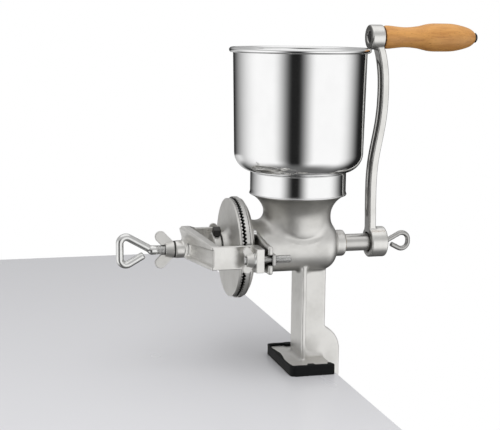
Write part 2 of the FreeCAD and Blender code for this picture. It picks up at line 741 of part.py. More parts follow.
def yoke_pocket():
    """Recess in the outer face of the near arm."""
    slope = (YOKE_CORNER_X - YOKE_APEX_X) / YOKE_LEG_Y
    y0 = -(YOKE_BOSS_R + 1.2)
    y1 = -(YOKE_LEG_Y + YOKE_LEG_T + 2)
    z = SHAFT_Z

    def face_x(y):
        return YOKE_APEX_X - slope * y - YOKE_ARM_T

    def section(y, low, high, depth):
        return Part.Wire(outline([
            V(face_x(y) - 6, y, z + low),
            V(face_x(y) - 6, y, z + high),
            V(face_x(y) + depth, y, z + high - 1.0),
            V(face_x(y) + depth, y, z + low + 1.0),
        ]))

    start = section(y0, YOKE_ROOT_Z + POCKET_RIM, YOKE_BOSS_R - 0.8, POCKET_DEPTH)
    end = section(y1, -YOKE_HALF_H + POCKET_RIM, YOKE_HALF_H - POCKET_RIM, POCKET_DEPTH * 0.55)
    return Part.makeLoft([start, end], True, True)


def yoke_side():
    z = SHAFT_Z
    y_in = -YOKE_LEG_Y
    y_out = -(YOKE_LEG_Y + YOKE_LEG_T)
    slope = (YOKE_CORNER_X - YOKE_APEX_X) / YOKE_LEG_Y
    corner = YOKE_APEX_X + slope * -y_out - YOKE_ARM_T
    leg_block = block(corner + 1, LUG_REAR_X, y_out, y_in, z - YOKE_HALF_H, z + YOKE_HALF_H)
    lug = block(LUG_FRONT_X, LUG_REAR_X, -EAR_REACH, y_in, z - YOKE_HALF_H, z + YOKE_HALF_H)
    return yoke_arm().cut(yoke_pocket()).fuse(leg_block).fuse(lug)


def yoke():
    length = YOKE_APEX_X - YOKE_BOSS_END_X - 1
    boss = rod(YOKE_BOSS_END_X, length, YOKE_BOSS_R)
    rim = [edge for edge in boss.Edges if edge.CenterOfMass.x < YOKE_BOSS_END_X + 0.01]
    boss = boss.makeChamfer(YOKE_BOSS_CHAMFER, rim)
    near = yoke_side()
    frame = joined([near, mirrored(near), boss])
    frame = frame.cut(rod(YOKE_BOSS_END_X - 1, YOKE_CORNER_X - YOKE_BOSS_END_X, SCREW_R + RUN))
    hole = rod(LUG_FRONT_X - 1, YOKE_LUG_T + 2, BOLT_R + RUN, -BOLT_Y)
    return frame.cut(hole).cut(mirrored(hole))


# Yoke bolts and nuts

def yoke_bolts():
    front = LUG_FRONT_X - YOKE_WASHER_T - YOKE_NUT_HUB_L - BOLT_TIP
    bolt = rod(front, EAR_REAR_X + BOLT_TAIL - front, BOLT_R, -BOLT_Y)
    ends = [edge for edge in bolt.Edges if edge.Curve.TypeId == "Part::GeomCircle"]
    bolt = bolt.makeChamfer(BOLT_CHAMFER, ends)
    return [bolt, mirrored(bolt)]


def rear_nuts():
    half = REAR_NUT_SIDE / 2
    z = SHAFT_Z
    nut = block(EAR_REAR_X, EAR_REAR_X + REAR_NUT_T, -BOLT_Y - half, -BOLT_Y + half, z - half, z + half)
    nut = nut.cut(rod(EAR_REAR_X - 1, REAR_NUT_T + 2, BOLT_R, -BOLT_Y))
    return [nut, mirrored(nut)]


def wing_nut(face_x, hub_r, hub_l, span, rise, tip_r, bore_r, y):
    """Wing nut on X whose flat side is at face_x and whose wings lean to -X."""
    z = SHAFT_Z
    hub = Part.makeCone(hub_r, hub_r * HUB_TAPER, hub_l, V(face_x, y, z), V(-1, 0, 0))
    low_y = y - WING_T / 2
    front_x = face_x - hub_l

    def wing(side):
        tip = V(face_x - rise + tip_r, low_y, z + side * (span - tip_r))
        blade = Part.makeCylinder(tip_r, WING_T, tip, Y_AXIS)
        along = V(tip.x - face_x, 0, tip.z - z).normalize()
        square = V(-along.z, 0, along.x) * (tip_r * side)
        web = prism([
            V(face_x, low_y, z),
            V(face_x, low_y, z + side * (hub_r - HUB_EDGE)),
            tip - square,
            tip + square,
            V(front_x + HUB_EDGE, low_y, z),
        ], Y_AXIS * WING_T)
        return blade.fuse(web)

    nut = joined([hub, wing(1), wing(-1)])
    return nut.cut(rod(face_x - rise - 2, rise + 4, bore_r, y))


def yoke_washer():
    x = LUG_FRONT_X - YOKE_WASHER_T
    ring = rod(x, YOKE_WASHER_T, YOKE_WASHER_R, -BOLT_Y)
    return ring.cut(rod(x - 1, YOKE_WASHER_T + 2, BOLT_R + RUN, -BOLT_Y))


def yoke_wing_nut():
    face = LUG_FRONT_X - YOKE_WASHER_T
    return wing_nut(face, YOKE_NUT_HUB_R, YOKE_NUT_HUB_L, YOKE_NUT_WING_SPAN,
                    YOKE_NUT_WING_RISE, YOKE_NUT_WING_TIP_R, BOLT_R + RUN, -BOLT_Y)


# Adjusting screw

def adjusting_screw():
    shank = rod(SCREW_EYE_X, SCREW_TIP_X - SCREW_EYE_X, SCREW_R)
    root = V(SCREW_EYE_X, 0, SHAFT_Z)
    handle = eye(root, -X_AXIS, Z_AXIS, EYE_LENGTH, EYE_HALF_WIDTH, EYE_CORNER_R, EYE_WIRE_R)
    shoulder = Part.makeSphere(SCREW_R, root)
    seat = Part.makeSphere(BALL_R + RUN, V(BALL_X, 0, SHAFT_Z))
    return joined([shank, shoulder, handle]).cut(seat)


def lock_washer():
    x = YOKE_BOSS_END_X - LOCK_WASHER_T
    return rod(x, LOCK_WASHER_T, LOCK_WASHER_R).cut(rod(x - 1, LOCK_WASHER_T + 2, SCREW_R + RUN))


def lock_nut():
    face = YOKE_BOSS_END_X - LOCK_WASHER_T
    return wing_nut(face, LOCK_HUB_R, LOCK_HUB_L, LOCK_WING_SPAN,
                    LOCK_WING_RISE, LOCK_WING_TIP_R, SCREW_R + RUN, 0)


# Hopper

def bowl_edges(inset, top_cut):
    """Half outline of the bowl, drawn in by inset."""
    z0 = BOWL_Z + inset
    z1 = BOWL_Z + BOWL_HEIGHT + top_cut
    turn = BOWL_ROUND - inset
    foot_r = BOWL_FOOT_R - inset
    knee = turn * (1 - sqrt(0.5))
    a = V(0, 0, z0)
    b = V(foot_r - turn, 0, z0)
    c = V(foot_r - knee, 0, z0 + knee)
    d = V(foot_r, 0, z0 + turn)
    e = V(BOWL_TOP_R - inset, 0, z1)
    f = V(0, 0, z1)
    return [line(a, b), arc(b, c, d), line(d, e), line(e, f), line(f, a)]


def hopper_bowl():
    outside = turned(bowl_edges(0, 0), V(0, 0, 0), Z_AXIS)
    inside = turned(bowl_edges(BOWL_WALL, 1), V(0, 0, 0), Z_AXIS)
    outlet = post(0, 0, BOWL_Z - 1, BOWL_WALL + 2, BOWL_OUTLET_R)
    roll_z = BOWL_Z + BOWL_HEIGHT - BOWL_ROLL_R
    roll = Part.makeTorus(BOWL_RIM_R - BOWL_ROLL_R, BOWL_ROLL_R, V(0, 0, roll_z), Z_AXIS)
    return outside.fuse(roll).cut(inside).cut(outlet)


def hopper_collar():
    """Ring over the neck's lip, with a rolled foot and a ledge under the bowl."""
    z0 = COLLAR_RING_Z
    ring = post(0, 0, z0, COLLAR_RING_H, COLLAR_RING_R)
    bead_ring_r = COLLAR_RING_R + COLLAR_BEAD_REACH - COLLAR_BEAD_R
    bead = Part.makeTorus(bead_ring_r, COLLAR_BEAD_R, V(0, 0, z0 + COLLAR_BEAD_R), Z_AXIS)
    bore = post(0, 0, z0 - 1, COLLAR_RING_H - COLLAR_RING_WALL + 1, COLLAR_RING_R - COLLAR_RING_WALL)
    hole = post(0, 0, z0, COLLAR_RING_H + 1, BOWL_OUTLET_R)
    return ring.fuse(bead).cut(bore).cut(hole)


# Foot boot

def upright_edges(shape, front_x):
    """The vertical edges that stand in front of front_x."""
    return [
        edge for edge in shape.Edges
        if abs(edge.tangentAt(edge.FirstParameter).z) > 0.9 and edge.CenterOfMass.x < front_x
    ]


def foot_boot():
    """Rubber shoe round three sides of the foot, with a lip over its edge."""
    x0 = FOOT_FRONT_X - BOOT_WALL
    y1 = FOOT_HALF_W + BOOT_WALL
    lip_z = BOOT_HEIGHT - BOOT_LIP_T
    lip_y = FOOT_HALF_W - BOOT_LIP
    outer = block(x0, FOOT_REAR_X, -y1, y1, 0, BOOT_HEIGHT)
    outer = outer.makeFillet(FOOT_CORNER_R + BOOT_WALL, upright_edges(outer, 0))
    well = block(FOOT_FRONT_X, FOOT_REAR_X + 1, -FOOT_HALF_W, FOOT_HALF_W, BOOT_FLOOR, lip_z)
    well = well.makeFillet(FOOT_CORNER_R, upright_edges(well, 0))
    mouth = block(FOOT_FRONT_X + BOOT_LIP, FOOT_REAR_X + 1, -lip_y, lip_y, BOOT_FLOOR, BOOT_HEIGHT + 1)
    boot = outer.cut(well).cut(mouth)
    tabs = []
    for start, length in BOOT_TABS:
        x = FOOT_REAR_X - start
        tab = block(x, x + length, -y1, -lip_y + BOOT_TAB_REACH, lip_z, BOOT_HEIGHT + BOOT_TAB_RISE)
        tabs += [tab, mirrored(tab)]
    return joined([boot] + tabs)


# Clamp

def clamp_pad():
    plate = post(CLAMP_X, 0, PAD_Z - PAD_T, PAD_T, PAD_R)
    hub = post(CLAMP_X, 0, PAD_Z - PAD_T - PAD_HUB_H, PAD_HUB_H, PAD_HUB_R)
    depth = PAD_HUB_H + 1
    socket = post(CLAMP_X, 0, PAD_Z - PAD_T - PAD_HUB_H - 1, depth, CLAMP_TIP_R + RUN)
    return plate.fuse(hub).cut(socket)


def clamp_screw():
    shoulder = PAD_Z - PAD_T - PAD_HUB_H - RUN
    shank = post(CLAMP_X, 0, CLAMP_EYE_Z, shoulder - CLAMP_EYE_Z, CLAMP_SCREW_R)
    tip = post(CLAMP_X, 0, shoulder - 1, PAD_HUB_H, CLAMP_TIP_R)
    root = V(CLAMP_X, 0, CLAMP_EYE_Z)
    end = Part.makeSphere(CLAMP_SCREW_R, root)
    handle = eye(root, -Z_AXIS, X_AXIS, CLAMP_EYE_LENGTH, CLAMP_EYE_HALF_WIDTH, EYE_CORNER_R, EYE_WIRE_R)
    return joined([shank, tip, end, handle])


# Crank

def crank_arm():
    """Bowed flat arm between the shaft hub and the boss of the grip."""
    hub_x = CRANK_HUB_X + ARM_T / 2 - ARM_SET_BACK
    end_x = CRANK_END_X + CRANK_END_L / 2
    heights = (0.0, 0.21, 0.41, 0.57, 0.74, 0.89, 1.0)
    bows = (0.1, 0.02, 0.2, 0.81, 1.09, 0.84, 0.12)
    centre = []
    for share, bow in zip(heights, bows):
        centre.append(V(hub_x + CRANK_SWEEP * bow, 0, SHAFT_Z + CRANK_RADIUS * share))
    centre[-1].x = end_x
    spine = Part.BSplineCurve()
    spine.interpolate(centre)
    half = ARM_T / 2
    samples = 12
    left = []
    right = []
    for index in range(samples + 1):
        u = spine.FirstParameter + (spine.LastParameter - spine.FirstParameter) * index / samples
        point = spine.value(u)
        along = V(*spine.tangent(u)[0]).normalize()
        side = V(along.z, 0, -along.x)
        left.append(point - side * half)
        right.append(point + side * half)
    left_curve = Part.BSplineCurve()
    left_curve.interpolate(left)
    right_curve = Part.BSplineCurve()
    right_curve.interpolate(right)
    face = Part.Face(Part.Wire([
        left_curve.toShape(), line(left[-1], right[-1]), right_curve.toShape(), line(right[0], left[0]),
    ]))
    face.translate(V(0, -ARM_W / 2, 0))
    bar = face.extrude(Y_AXIS * ARM_W)
    hub = rod(CRANK_HUB_X, CRANK_HUB_L, CRANK_HUB_R)
    end = rod(CRANK_END_X, CRANK_END_L, CRANK_END_R, 0, HANDLE_Z)
    arm = joined([bar, hub, end])
    tang_x = CRANK_HUB_X + CRANK_SOCKET
    arm = arm.cut(rod(CRANK_HUB_X - 1, CRANK_SOCKET + 1, SHAFT_R + CRANK_SOCKET_GAP))
    arm = arm.cut(rod(tang_x - 1, CRANK_HUB_END_X - tang_x + 2, TANG_R))
    nut_well = rod(CRANK_END_X - 8, 8 + NUT_WELL_DEPTH, HANDLE_NUT_R + NUT_WELL_GAP, 0, HANDLE_Z)
    bolt_hole = rod(CRANK_END_X - 1, CRANK_END_L + 2, HANDLE_BOLT_R, 0, HANDLE_Z)
    end_face = rod(CRANK_END_REAR_X, ARM_T, CRANK_END_R, 0, HANDLE_Z)
    return arm.cut(nut_well).cut(bolt_hole).cut(end_face)


def crank_screw():
    start = CRANK_HUB_END_X - CRANK_SCREW_DEPTH + CRANK_SCREW_TIP_GAP
    end = CRANK_HUB_END_X + CRANK_SCREW_NECK
    shank = rod(start, end - start, CRANK_SCREW_R)
    plate = rod(CRANK_HUB_END_X + RUN, CRANK_SCREW_FLANGE_T, CRANK_SCREW_FLANGE_R)
    root = V(end, 0, SHAFT_Z)
    shoulder = Part.makeSphere(CRANK_SCREW_R, root)
    handle = eye(root, X_AXIS, Z_AXIS, CRANK_EYE_LENGTH, CRANK_EYE_HALF_WIDTH,
                 CRANK_EYE_CORNER_R, CRANK_SCREW_R)
    return joined([shank, plate, shoulder, handle])


def handle_bolt():
    start = CRANK_END_X + HANDLE_BOLT_INSET
    end = GRIP_END_X + FREE
    shank = rod(start, end - start, HANDLE_BOLT_R, 0, HANDLE_Z)
    head = rod(end, HANDLE_HEAD_T, HANDLE_HEAD_R, 0, HANDLE_Z)
    rim = [edge for edge in head.Edges if edge.CenterOfMass.x > end + HANDLE_HEAD_T - 0.01]
    head = head.makeChamfer(HANDLE_HEAD_CHAMFER, rim)
    face = end + HANDLE_HEAD_T
    half = SCREW_SLOT_W / 2
    slot = block(face - SCREW_SLOT_DEPTH, face + 1, -half, half,
                 HANDLE_Z - HANDLE_HEAD_R - 1, HANDLE_Z + HANDLE_HEAD_R + 1)
    return shank.fuse(head.cut(slot))


def handle_nut():
    x = CRANK_END_X + NUT_WELL_DEPTH - HANDLE_NUT_T
    corners = []
    for index in range(6):
        turn = radians(60 * index)
        corners.append(V(x, HANDLE_NUT_R * cos(turn), HANDLE_Z + HANDLE_NUT_R * sin(turn)))
    nut = prism(corners, X_AXIS * HANDLE_NUT_T)
    return nut.cut(rod(x - 1, HANDLE_NUT_T + 2, HANDLE_BOLT_R, 0, HANDLE_Z))


def handle_washer():
    ring = rod(CRANK_END_REAR_X, HANDLE_WASHER_T, HANDLE_WASHER_R, 0, HANDLE_Z)
    return ring.cut(rod(CRANK_END_REAR_X - 1, HANDLE_WASHER_T + 2, HANDLE_BOLT_R, 0, HANDLE_Z))


def handle_grip():
    """Turned wooden grip: a flared end, a slim neck, a full belly, a blunt tip."""
    z = HANDLE_Z
    rise = GRIP_BELLY_R - GRIP_NECK_R
    stations = (
        (0.0, GRIP_END_R - GRIP_END_ROUND),
        (0.045, GRIP_END_R),
        (0.22, GRIP_NECK_R),
        (0.36, GRIP_NECK_R + 0.23 * rise),
        (0.5, GRIP_NECK_R + 0.91 * rise),
        (0.63, GRIP_BELLY_R),
        (0.76, GRIP_NECK_R + 0.91 * rise),
        (0.87, GRIP_SHOULDER_R),
        (0.945, (GRIP_SHOULDER_R + GRIP_TIP_R) / 2),
        (0.985, GRIP_TIP_R),
    )
    points = [V(GRIP_X + GRIP_L * share, 0, z + radius) for share, radius in stations]
    curve = Part.BSplineCurve()
    curve.interpolate(points)
    bore = HANDLE_BOLT_R + RUN
    a = V(GRIP_X, 0, z + bore)
    b = V(GRIP_END_X, 0, z + GRIP_TIP_R - GRIP_TIP_ROUND)
    c = V(GRIP_END_X, 0, z + bore)
    edges = [line(a, points[0]), curve.toShape(), line(points[-1], b), line(b, c), line(c, a)]
    return turned(edges, V(0, 0, z), X_AXIS)


def save(name, shapes):
    """One STEP file per node; a node may hold several separate solids."""
    solids = []
    for shape in shapes if isinstance(shapes, list) else [shapes]:
        solids += shape.Solids
    body = solids[0] if len(solids) == 1 else Part.makeCompound(solids)
    body.exportStep(f"parts/{name}.step")
    box = body.BoundBox
    print(f"{name:18s} solids {len(solids)} valid {body.isValid()} volume {body.Volume / 1000:9.2f} cm3 "
          f"x {box.XMin:.1f} {box.XMax:.1f} y {box.YMin:.1f} {box.YMax:.1f} z {box.ZMin:.1f} {box.ZMax:.1f}")


def main():
    os.makedirs("parts", exist_ok=True)
    save("body_casting", body_casting())
    save("rear_bushing", rear_bushing())
    save("foot_boot", foot_boot())
    save("fixed_burr", fixed_burr())
    save("burr_screws", burr_screws())
    save("moving_burr", moving_burr())
    save("drive_pins", drive_pin_shapes())
    save("burr_carrier", burr_carrier())
    save("drive_shaft", drive_shaft())
    save("shaft_collar", shaft_collar())
    save("collar_set_screw", collar_set_screw())
    save("thrust_ball", thrust_ball())
    save("yoke", yoke())
    save("yoke_bolts", yoke_bolts())
    save("rear_nuts", rear_nuts())
    save("yoke_washer_near", yoke_washer())
    save("yoke_washer_far", mirrored(yoke_washer()))
    save("wing_nut_near", yoke_wing_nut())
    save("wing_nut_far", mirrored(yoke_wing_nut()))
    save("adjusting_screw", adjusting_screw())
    save("lock_washer", lock_washer())
    save("lock_nut", lock_nut())
    save("hopper_bowl", hopper_bowl())
    save("hopper_collar", hopper_collar())
    save("clamp_pad", clamp_pad())
    save("clamp_screw", clamp_screw())
    save("crank_arm", crank_arm())
    save("crank_screw", crank_screw())
    save("handle_bolt", handle_bolt())
    save("handle_nut", handle_nut())
    save("handle_washer", handle_washer())
    save("handle_grip", handle_grip())


main()
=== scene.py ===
"""Looks of the hand grain mill: finishes, castings with soft corners, cut threads and the studio."""

import json
from math import atan2, cos, degrees, pi, radians, sin

import bmesh
import bpy
import numpy as np
from bpy.props import FloatProperty, FloatVectorProperty, IntProperty, PointerProperty
from mathutils import Matrix, Vector, noise

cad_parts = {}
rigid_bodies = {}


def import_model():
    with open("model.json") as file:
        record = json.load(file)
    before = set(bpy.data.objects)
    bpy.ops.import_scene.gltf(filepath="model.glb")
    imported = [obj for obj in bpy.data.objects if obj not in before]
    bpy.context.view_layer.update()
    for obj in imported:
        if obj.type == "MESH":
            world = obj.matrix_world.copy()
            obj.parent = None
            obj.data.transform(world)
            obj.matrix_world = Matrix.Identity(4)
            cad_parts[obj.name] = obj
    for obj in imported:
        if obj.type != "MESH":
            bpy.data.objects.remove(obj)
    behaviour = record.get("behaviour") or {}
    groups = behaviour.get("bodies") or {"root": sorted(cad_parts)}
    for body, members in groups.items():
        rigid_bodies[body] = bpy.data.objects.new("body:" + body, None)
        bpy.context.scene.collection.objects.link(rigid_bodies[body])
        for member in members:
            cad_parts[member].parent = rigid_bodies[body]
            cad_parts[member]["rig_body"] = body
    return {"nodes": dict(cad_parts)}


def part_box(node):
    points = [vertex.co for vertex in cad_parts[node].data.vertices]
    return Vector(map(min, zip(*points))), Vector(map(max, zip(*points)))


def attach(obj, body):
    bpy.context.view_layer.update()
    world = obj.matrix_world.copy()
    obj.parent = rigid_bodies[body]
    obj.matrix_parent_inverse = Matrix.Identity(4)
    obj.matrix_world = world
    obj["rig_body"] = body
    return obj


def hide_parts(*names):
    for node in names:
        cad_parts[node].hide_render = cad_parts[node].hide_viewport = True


bl_info = {
    "name": "Hand Grain Mill",
    "version": (1, 0, 0),
    "blender": (4, 5, 0),
    "location": "3D View > Sidebar > Mill",
    "description": "Dresses the mill's frame with finished castings, threads, steel, rubber and wood",
    "category": "Object",
}

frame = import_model()

MM = 0.001


def length(name, description, millimetres):
    return FloatProperty(name=name, description=description, default=millimetres * MM,
                         min=0.0, precision=5, unit="LENGTH", subtype="DISTANCE")


def share(name, description, default, high=1.0):
    return FloatProperty(name=name, description=description, default=default, min=0.0, max=high)


def colour(name, description, default):
    return FloatVectorProperty(name=name, description=description, default=default,
                               size=3, min=0.0, max=1.0, subtype="COLOR")


class MillCastingSettings(bpy.types.PropertyGroup):
    """Grain and corners of the cast pieces"""
    body_grain: length("Body Grain", "Width of the faces of the body's skin", 1.28)
    arm_grain: length("Arm Grain", "Width of the faces of the yoke and the crank", 0.62)
    nut_grain: length("Nut Grain", "Width of the faces of the wing nuts", 0.42)
    edge_radius: length("Edge Radius", "Radius of the body's outer edges", 0.9)
    arm_edge: length("Arm Edge Radius", "Radius of the outer edges of the yoke and the nuts", 0.4)
    hollow_radius: length("Hollow Radius", "Radius of the inner corners of the body", 5.0)
    neck_radius: length("Neck Radius", "Radius where the neck runs into the barrel", 34.0)
    neck_width: share("Neck Width", "Width of the neck's waist as a share of its length", 0.81)
    # Above this height the body's skin is rougher and painted darker, as painted shade under the hopper.
    dull_and_shade_height: length("Dull Height", "Height above which the body keeps its dull cast skin", 158)
    barrel_radius: length("Barrel Radius", "Radius of the barrel that the neck stands on", 28.6)
    seat_radius: length("Seat Radius", "Radius beside turned seats and bosses", 1.2)
    arm_hollow: length("Arm Hollow", "Radius of the inner corners of the yoke", 3.0)
    crank_edge: length("Crank Edge Radius", "Radius of the outer edges of the crank", 2.0)
    crank_hollow: length("Crank Hollow", "Radius where the crank's arm runs into its bosses", 7.0)
    nut_hollow: length("Nut Hollow", "Radius where the wings run into their hub", 2.6)
    channel_depth: length("Channel Depth", "Depth of the channel in the crank's sides", 1.9)
    channel_width: length("Channel Width", "Width of the channel in the crank's sides", 8.6)
    swell_size: length("Swell Size", "Width of the slow swells in the cast skin", 11.0)
    swell_depth: length("Swell Depth", "Depth of the slow swells in the cast skin", 0.05)
    tin: colour("Tin", "Colour of the tin coat", (0.79, 0.78, 0.755))
    # Darker colour of random rough patches and pits, also used as painted shade in concave creases and on the
    # neck.
    hollow: colour("Hollows", "Colour of the tin coat where it is dull", (0.44, 0.43, 0.40))
    # Painted shade: the colour painted on the crank's sides and on faces turned down, under the barrel.
    side: colour("Dull Sides", "Colour of the crank's sides and the barrel's underside", (0.14, 0.137, 0.13))
    # Painted shade: the nearly black colour painted into the gaps between parts.
    gap_shade: colour("Grime", "Colour of the gaps where the tin coat has gone dark", (0.055, 0.053, 0.047))


class MillThreadSettings(bpy.types.PropertyGroup):
    """Threads and bent eyes of the screws"""
    screw_pitch: length("Screw Pitch", "Pitch of the adjusting screw", 1.5)
    bolt_pitch: length("Bolt Pitch", "Pitch of the yoke bolts", 1.25)
    clamp_pitch: length("Clamp Pitch", "Pitch of the clamp screw", 1.75)
    depth: share("Depth", "Depth of a thread as a share of its pitch", 0.5)
    eye_length: length("Eye Length", "Length of the adjusting screw's eye", 38.2)
    clamp_eye_length: length("Clamp Eye Length", "Length of the clamp screw's eye", 32.0)
    eye_grain: length("Eye Grain", "Width of the faces of the bent eyes", 0.6)
    zinc: colour("Zinc", "Colour of zinc plated steel", (0.82, 0.82, 0.81))


class MillDiscSettings(bpy.types.PropertyGroup):
    """Teeth of the two grinding discs"""
    teeth: IntProperty(name="Teeth", description="Teeth round a disc", default=84, min=12)
    tooth_depth: length("Tooth Depth", "Depth of the notches at the rim", 1.9)
    tooth_band: length("Toothed Band", "Width of the toothed band", 17.0)
    bore_radius: length("Bore Radius", "Radius of the hole in a disc", 20.0)
    chamfer: length("Chamfer", "Width of the broken edge at the rim", 0.5)


class MillHopperSettings(bpy.types.PropertyGroup):
    """Sheet steel hopper and its collar"""
    wall: length("Wall", "Thickness of the sheet", 1.2)
    roll: length("Rolled Rim", "Radius of the rolled rim", 2.75)
    foot_round: length("Foot Round", "Radius of the bend at the bowl's foot", 21.0)
    taper: length("Taper", "How much less the radius is at the foot", 2.0)
    ledge: length("Ledge", "Width of the collar's ledge under the bowl", 8.9)
    bead: length("Bead", "Radius of the collar's bottom bead", 1.0)
    bead_reach: length("Bead Reach", "How far the bead stands out", 0.9)
    segments: IntProperty(name="Segments", description="Faces round the hopper", default=256, min=32)
    steel: colour("Steel", "Colour of the polished steel", (0.90, 0.90, 0.90))


class MillBootSettings(bpy.types.PropertyGroup):
    """Rubber boot of the foot"""
    grain: length("Grain", "Width of the faces of the boot", 0.9)
    waviness: length("Waviness", "How unevenly the boot's lip lies", 0.5)
    rubber: colour("Rubber", "Colour of the boot", (0.004, 0.0045, 0.0045))


class MillGripSettings(bpy.types.PropertyGroup):
    """Turned wooden grip"""
    end_radius: length("End Radius", "Radius beside the crank", 12.6)
    neck_radius: length("Neck Radius", "Radius of the slim neck", 10.9)
    belly_radius: length("Belly Radius", "Radius of the full belly", 15.3)
    shoulder_radius: length("Shoulder Radius", "Radius where the grip starts to close", 12.7)
    tip_radius: length("Tip Radius", "Radius of the small tip", 7.6)
    bore_radius: length("Bore Radius", "Radius of the bolt's hole", 3.25)
    light: colour("Light Wood", "Colour of the early wood", (0.76, 0.38, 0.105))
    dark: colour("Dark Wood", "Colour of the late wood", (0.44, 0.17, 0.035))


class MillStageSettings(bpy.types.PropertyGroup):
    """Camera, table and studio light"""
    camera_place: FloatVectorProperty(name="Camera Place", description="Where the camera stands", size=3,
                                      default=(-0.3891, -1.2371, 0.3771), subtype="TRANSLATION")
    camera_target: FloatVectorProperty(name="Camera Target", description="Point in the middle of the view",
                                       size=3, default=(-0.0535, 0.0, 0.1693), subtype="TRANSLATION")
    camera_roll: FloatProperty(name="Camera Roll", description="Clockwise turn of the camera",
                               default=radians(0.65), subtype="ANGLE")
    camera_lens: FloatProperty(name="Lens", description="Focal length in millimetres", default=86.67, min=1.0)
    table_gap: length("Table Gap", "From the boot to the table's edge", 3.5)
    table_thickness: length("Table Thickness", "Thickness of the table top", 7.0)
    table_left: length("Table Left", "How far the table reaches to the left", 750.0)
    table_front: length("Table Front", "How far the table reaches to the front", 600.0)
    table_rear: length("Table Rear", "How far the table reaches to the rear", 660.0)
    table: colour("Table", "Colour of the table top", (0.76, 0.76, 0.785))
    floor_light: share("Floor Light", "Light that comes up from the floor, behind on the left", 0.5, high=5.0)
    wall_light: share("Wall Light", "Light from between the softboxes and the ceiling", 0.55, high=5.0)
    backdrop: share("Backdrop", "Light from the backdrop, above the table's far edge", 0.45, high=5.0)
    overhead: share("Overhead", "Light from straight above", 1.0, high=5.0)
    gap_light: share("Gap Light", "Light from the dark gaps beside the softboxes", 0.014, high=5.0)
    ground: share("Ground", "Light from straight below", 0.14, high=5.0)
    lamp_power: FloatProperty(name="Lamp Power", description="Watts of the soft lamp", default=6.0)


# Node trees written as expressions

class Signal:
    """A socket that takes part in sums. Each sum adds a Math node."""

    def __init__(self, finish, socket):
        self.finish = finish
        self.socket = socket

    def __add__(self, other):
        return self.finish.maths("ADD", self, other)

    def __radd__(self, other):
        return self.finish.maths("ADD", other, self)

    def __sub__(self, other):
        return self.finish.maths("SUBTRACT", self, other)

    def __rsub__(self, other):
        return self.finish.maths("SUBTRACT", other, self)

    def __mul__(self, other):
        return self.finish.maths("MULTIPLY", self, other)

    def __rmul__(self, other):
        return self.finish.maths("MULTIPLY", other, self)


class Finish:
    """The node tree of one material or of the world. Its lengths are in millimetres."""

    def __init__(self, tree):
        self.tree = tree
        self.places = {}
        tree.nodes.clear()

    def node(self, kind, settings=None, values=None, output=0):
        """Adds a node, sets its settings, then fills its sockets with numbers or signals."""
        made = self.tree.nodes.new(kind)
        for name, value in (settings or {}).items():
            setattr(made, name, value)
        for name, value in (values or {}).items():
            if isinstance(value, Signal):
                self.tree.links.new(value.socket, made.inputs[name])
            else:
                made.inputs[name].default_value = value
        return Signal(self, made.outputs[output]) if len(made.outputs) else None

    def maths(self, operation, first, second=0.0):
        return self.node("ShaderNodeMath", {"operation": operation}, {0: first, 1: second})

    def held(self, value):
        """The value kept between 0 and 1."""
        return self.node("ShaderNodeClamp", values={"Value": value})

    def step(self, value, low, high):
        """Rises smoothly from 0 at low to 1 at high."""
        settings = {"interpolation_type": "SMOOTHSTEP"}
        return self.node("ShaderNodeMapRange", settings, {"Value": value, "From Min": low, "From Max": high})

    def blend(self, factor, first, second):
        """A colour between two others."""
        values = {0: factor, 6: opaque(first), 7: opaque(second)}
        return self.node("ShaderNodeMix", {"data_type": "RGBA"}, values, output=2)

    def place(self, stretch=(1.0, 1.0, 1.0)):
        """Place on the piece, divided by stretch along each axis."""
        if stretch not in self.places:
            spot = self.node("ShaderNodeTexCoord", output="Object")
            values = {0: spot, 1: [1.0 / MM / s for s in stretch]}
            self.places[stretch] = self.node("ShaderNodeVectorMath", {"operation": "MULTIPLY"}, values)
        return self.places[stretch]

    def axes(self, vector):
        parts = self.node("ShaderNodeSeparateXYZ", values={0: vector})
        return [Signal(self, socket) for socket in parts.socket.node.outputs]

    def noise(self, size, detail=2.0, roughness=0.5, stretch=(1.0, 1.0, 1.0)):
        """Even noise from 0 to 1 with grains of that size."""
        values = {"Vector": self.place(stretch), "Scale": 1.0 / size, "Detail": detail,
                  "Roughness": roughness}
        return self.node("ShaderNodeTexNoise", values=values)

    def pits(self, size, stretch=(1.0, 1.0, 1.0)):
        """Rounded cells: 0 in their middle."""
        values = {"Vector": self.place(stretch), "Scale": 1.0 / size}
        return self.node("ShaderNodeTexVoronoi", {"feature": "SMOOTH_F1"}, values)

    def edges(self, radius):
        """Normals with the sharp edges eased to a radius."""
        return self.node("ShaderNodeBevel", {"samples": 6}, {"Radius": radius * MM})

    def open(self, distance):
        """1 on open faces, 0 deep in a gap of that width."""
        values = {"Distance": distance * MM}
        return self.node("ShaderNodeAmbientOcclusion", {"samples": 4}, values, output="AO")

    def bump(self, height, depth, normal=None):
        """Height from 0 to 1 raised by depth."""
        values = {"Strength": 1.0, "Distance": depth * MM, "Height": height}
        if normal is not None:
            values["Normal"] = normal
        return self.node("ShaderNodeBump", values=values)

    def surface(self, **sockets):
        values = {name.replace("_", " "): value for name, value in sockets.items()}
        shader = self.node("ShaderNodeBsdfPrincipled", values=values)
        self.node("ShaderNodeOutputMaterial", values={"Surface": shader})


def opaque(value):
    return value if isinstance(value, Signal) else (*value[:3], 1.0)


# Finishes

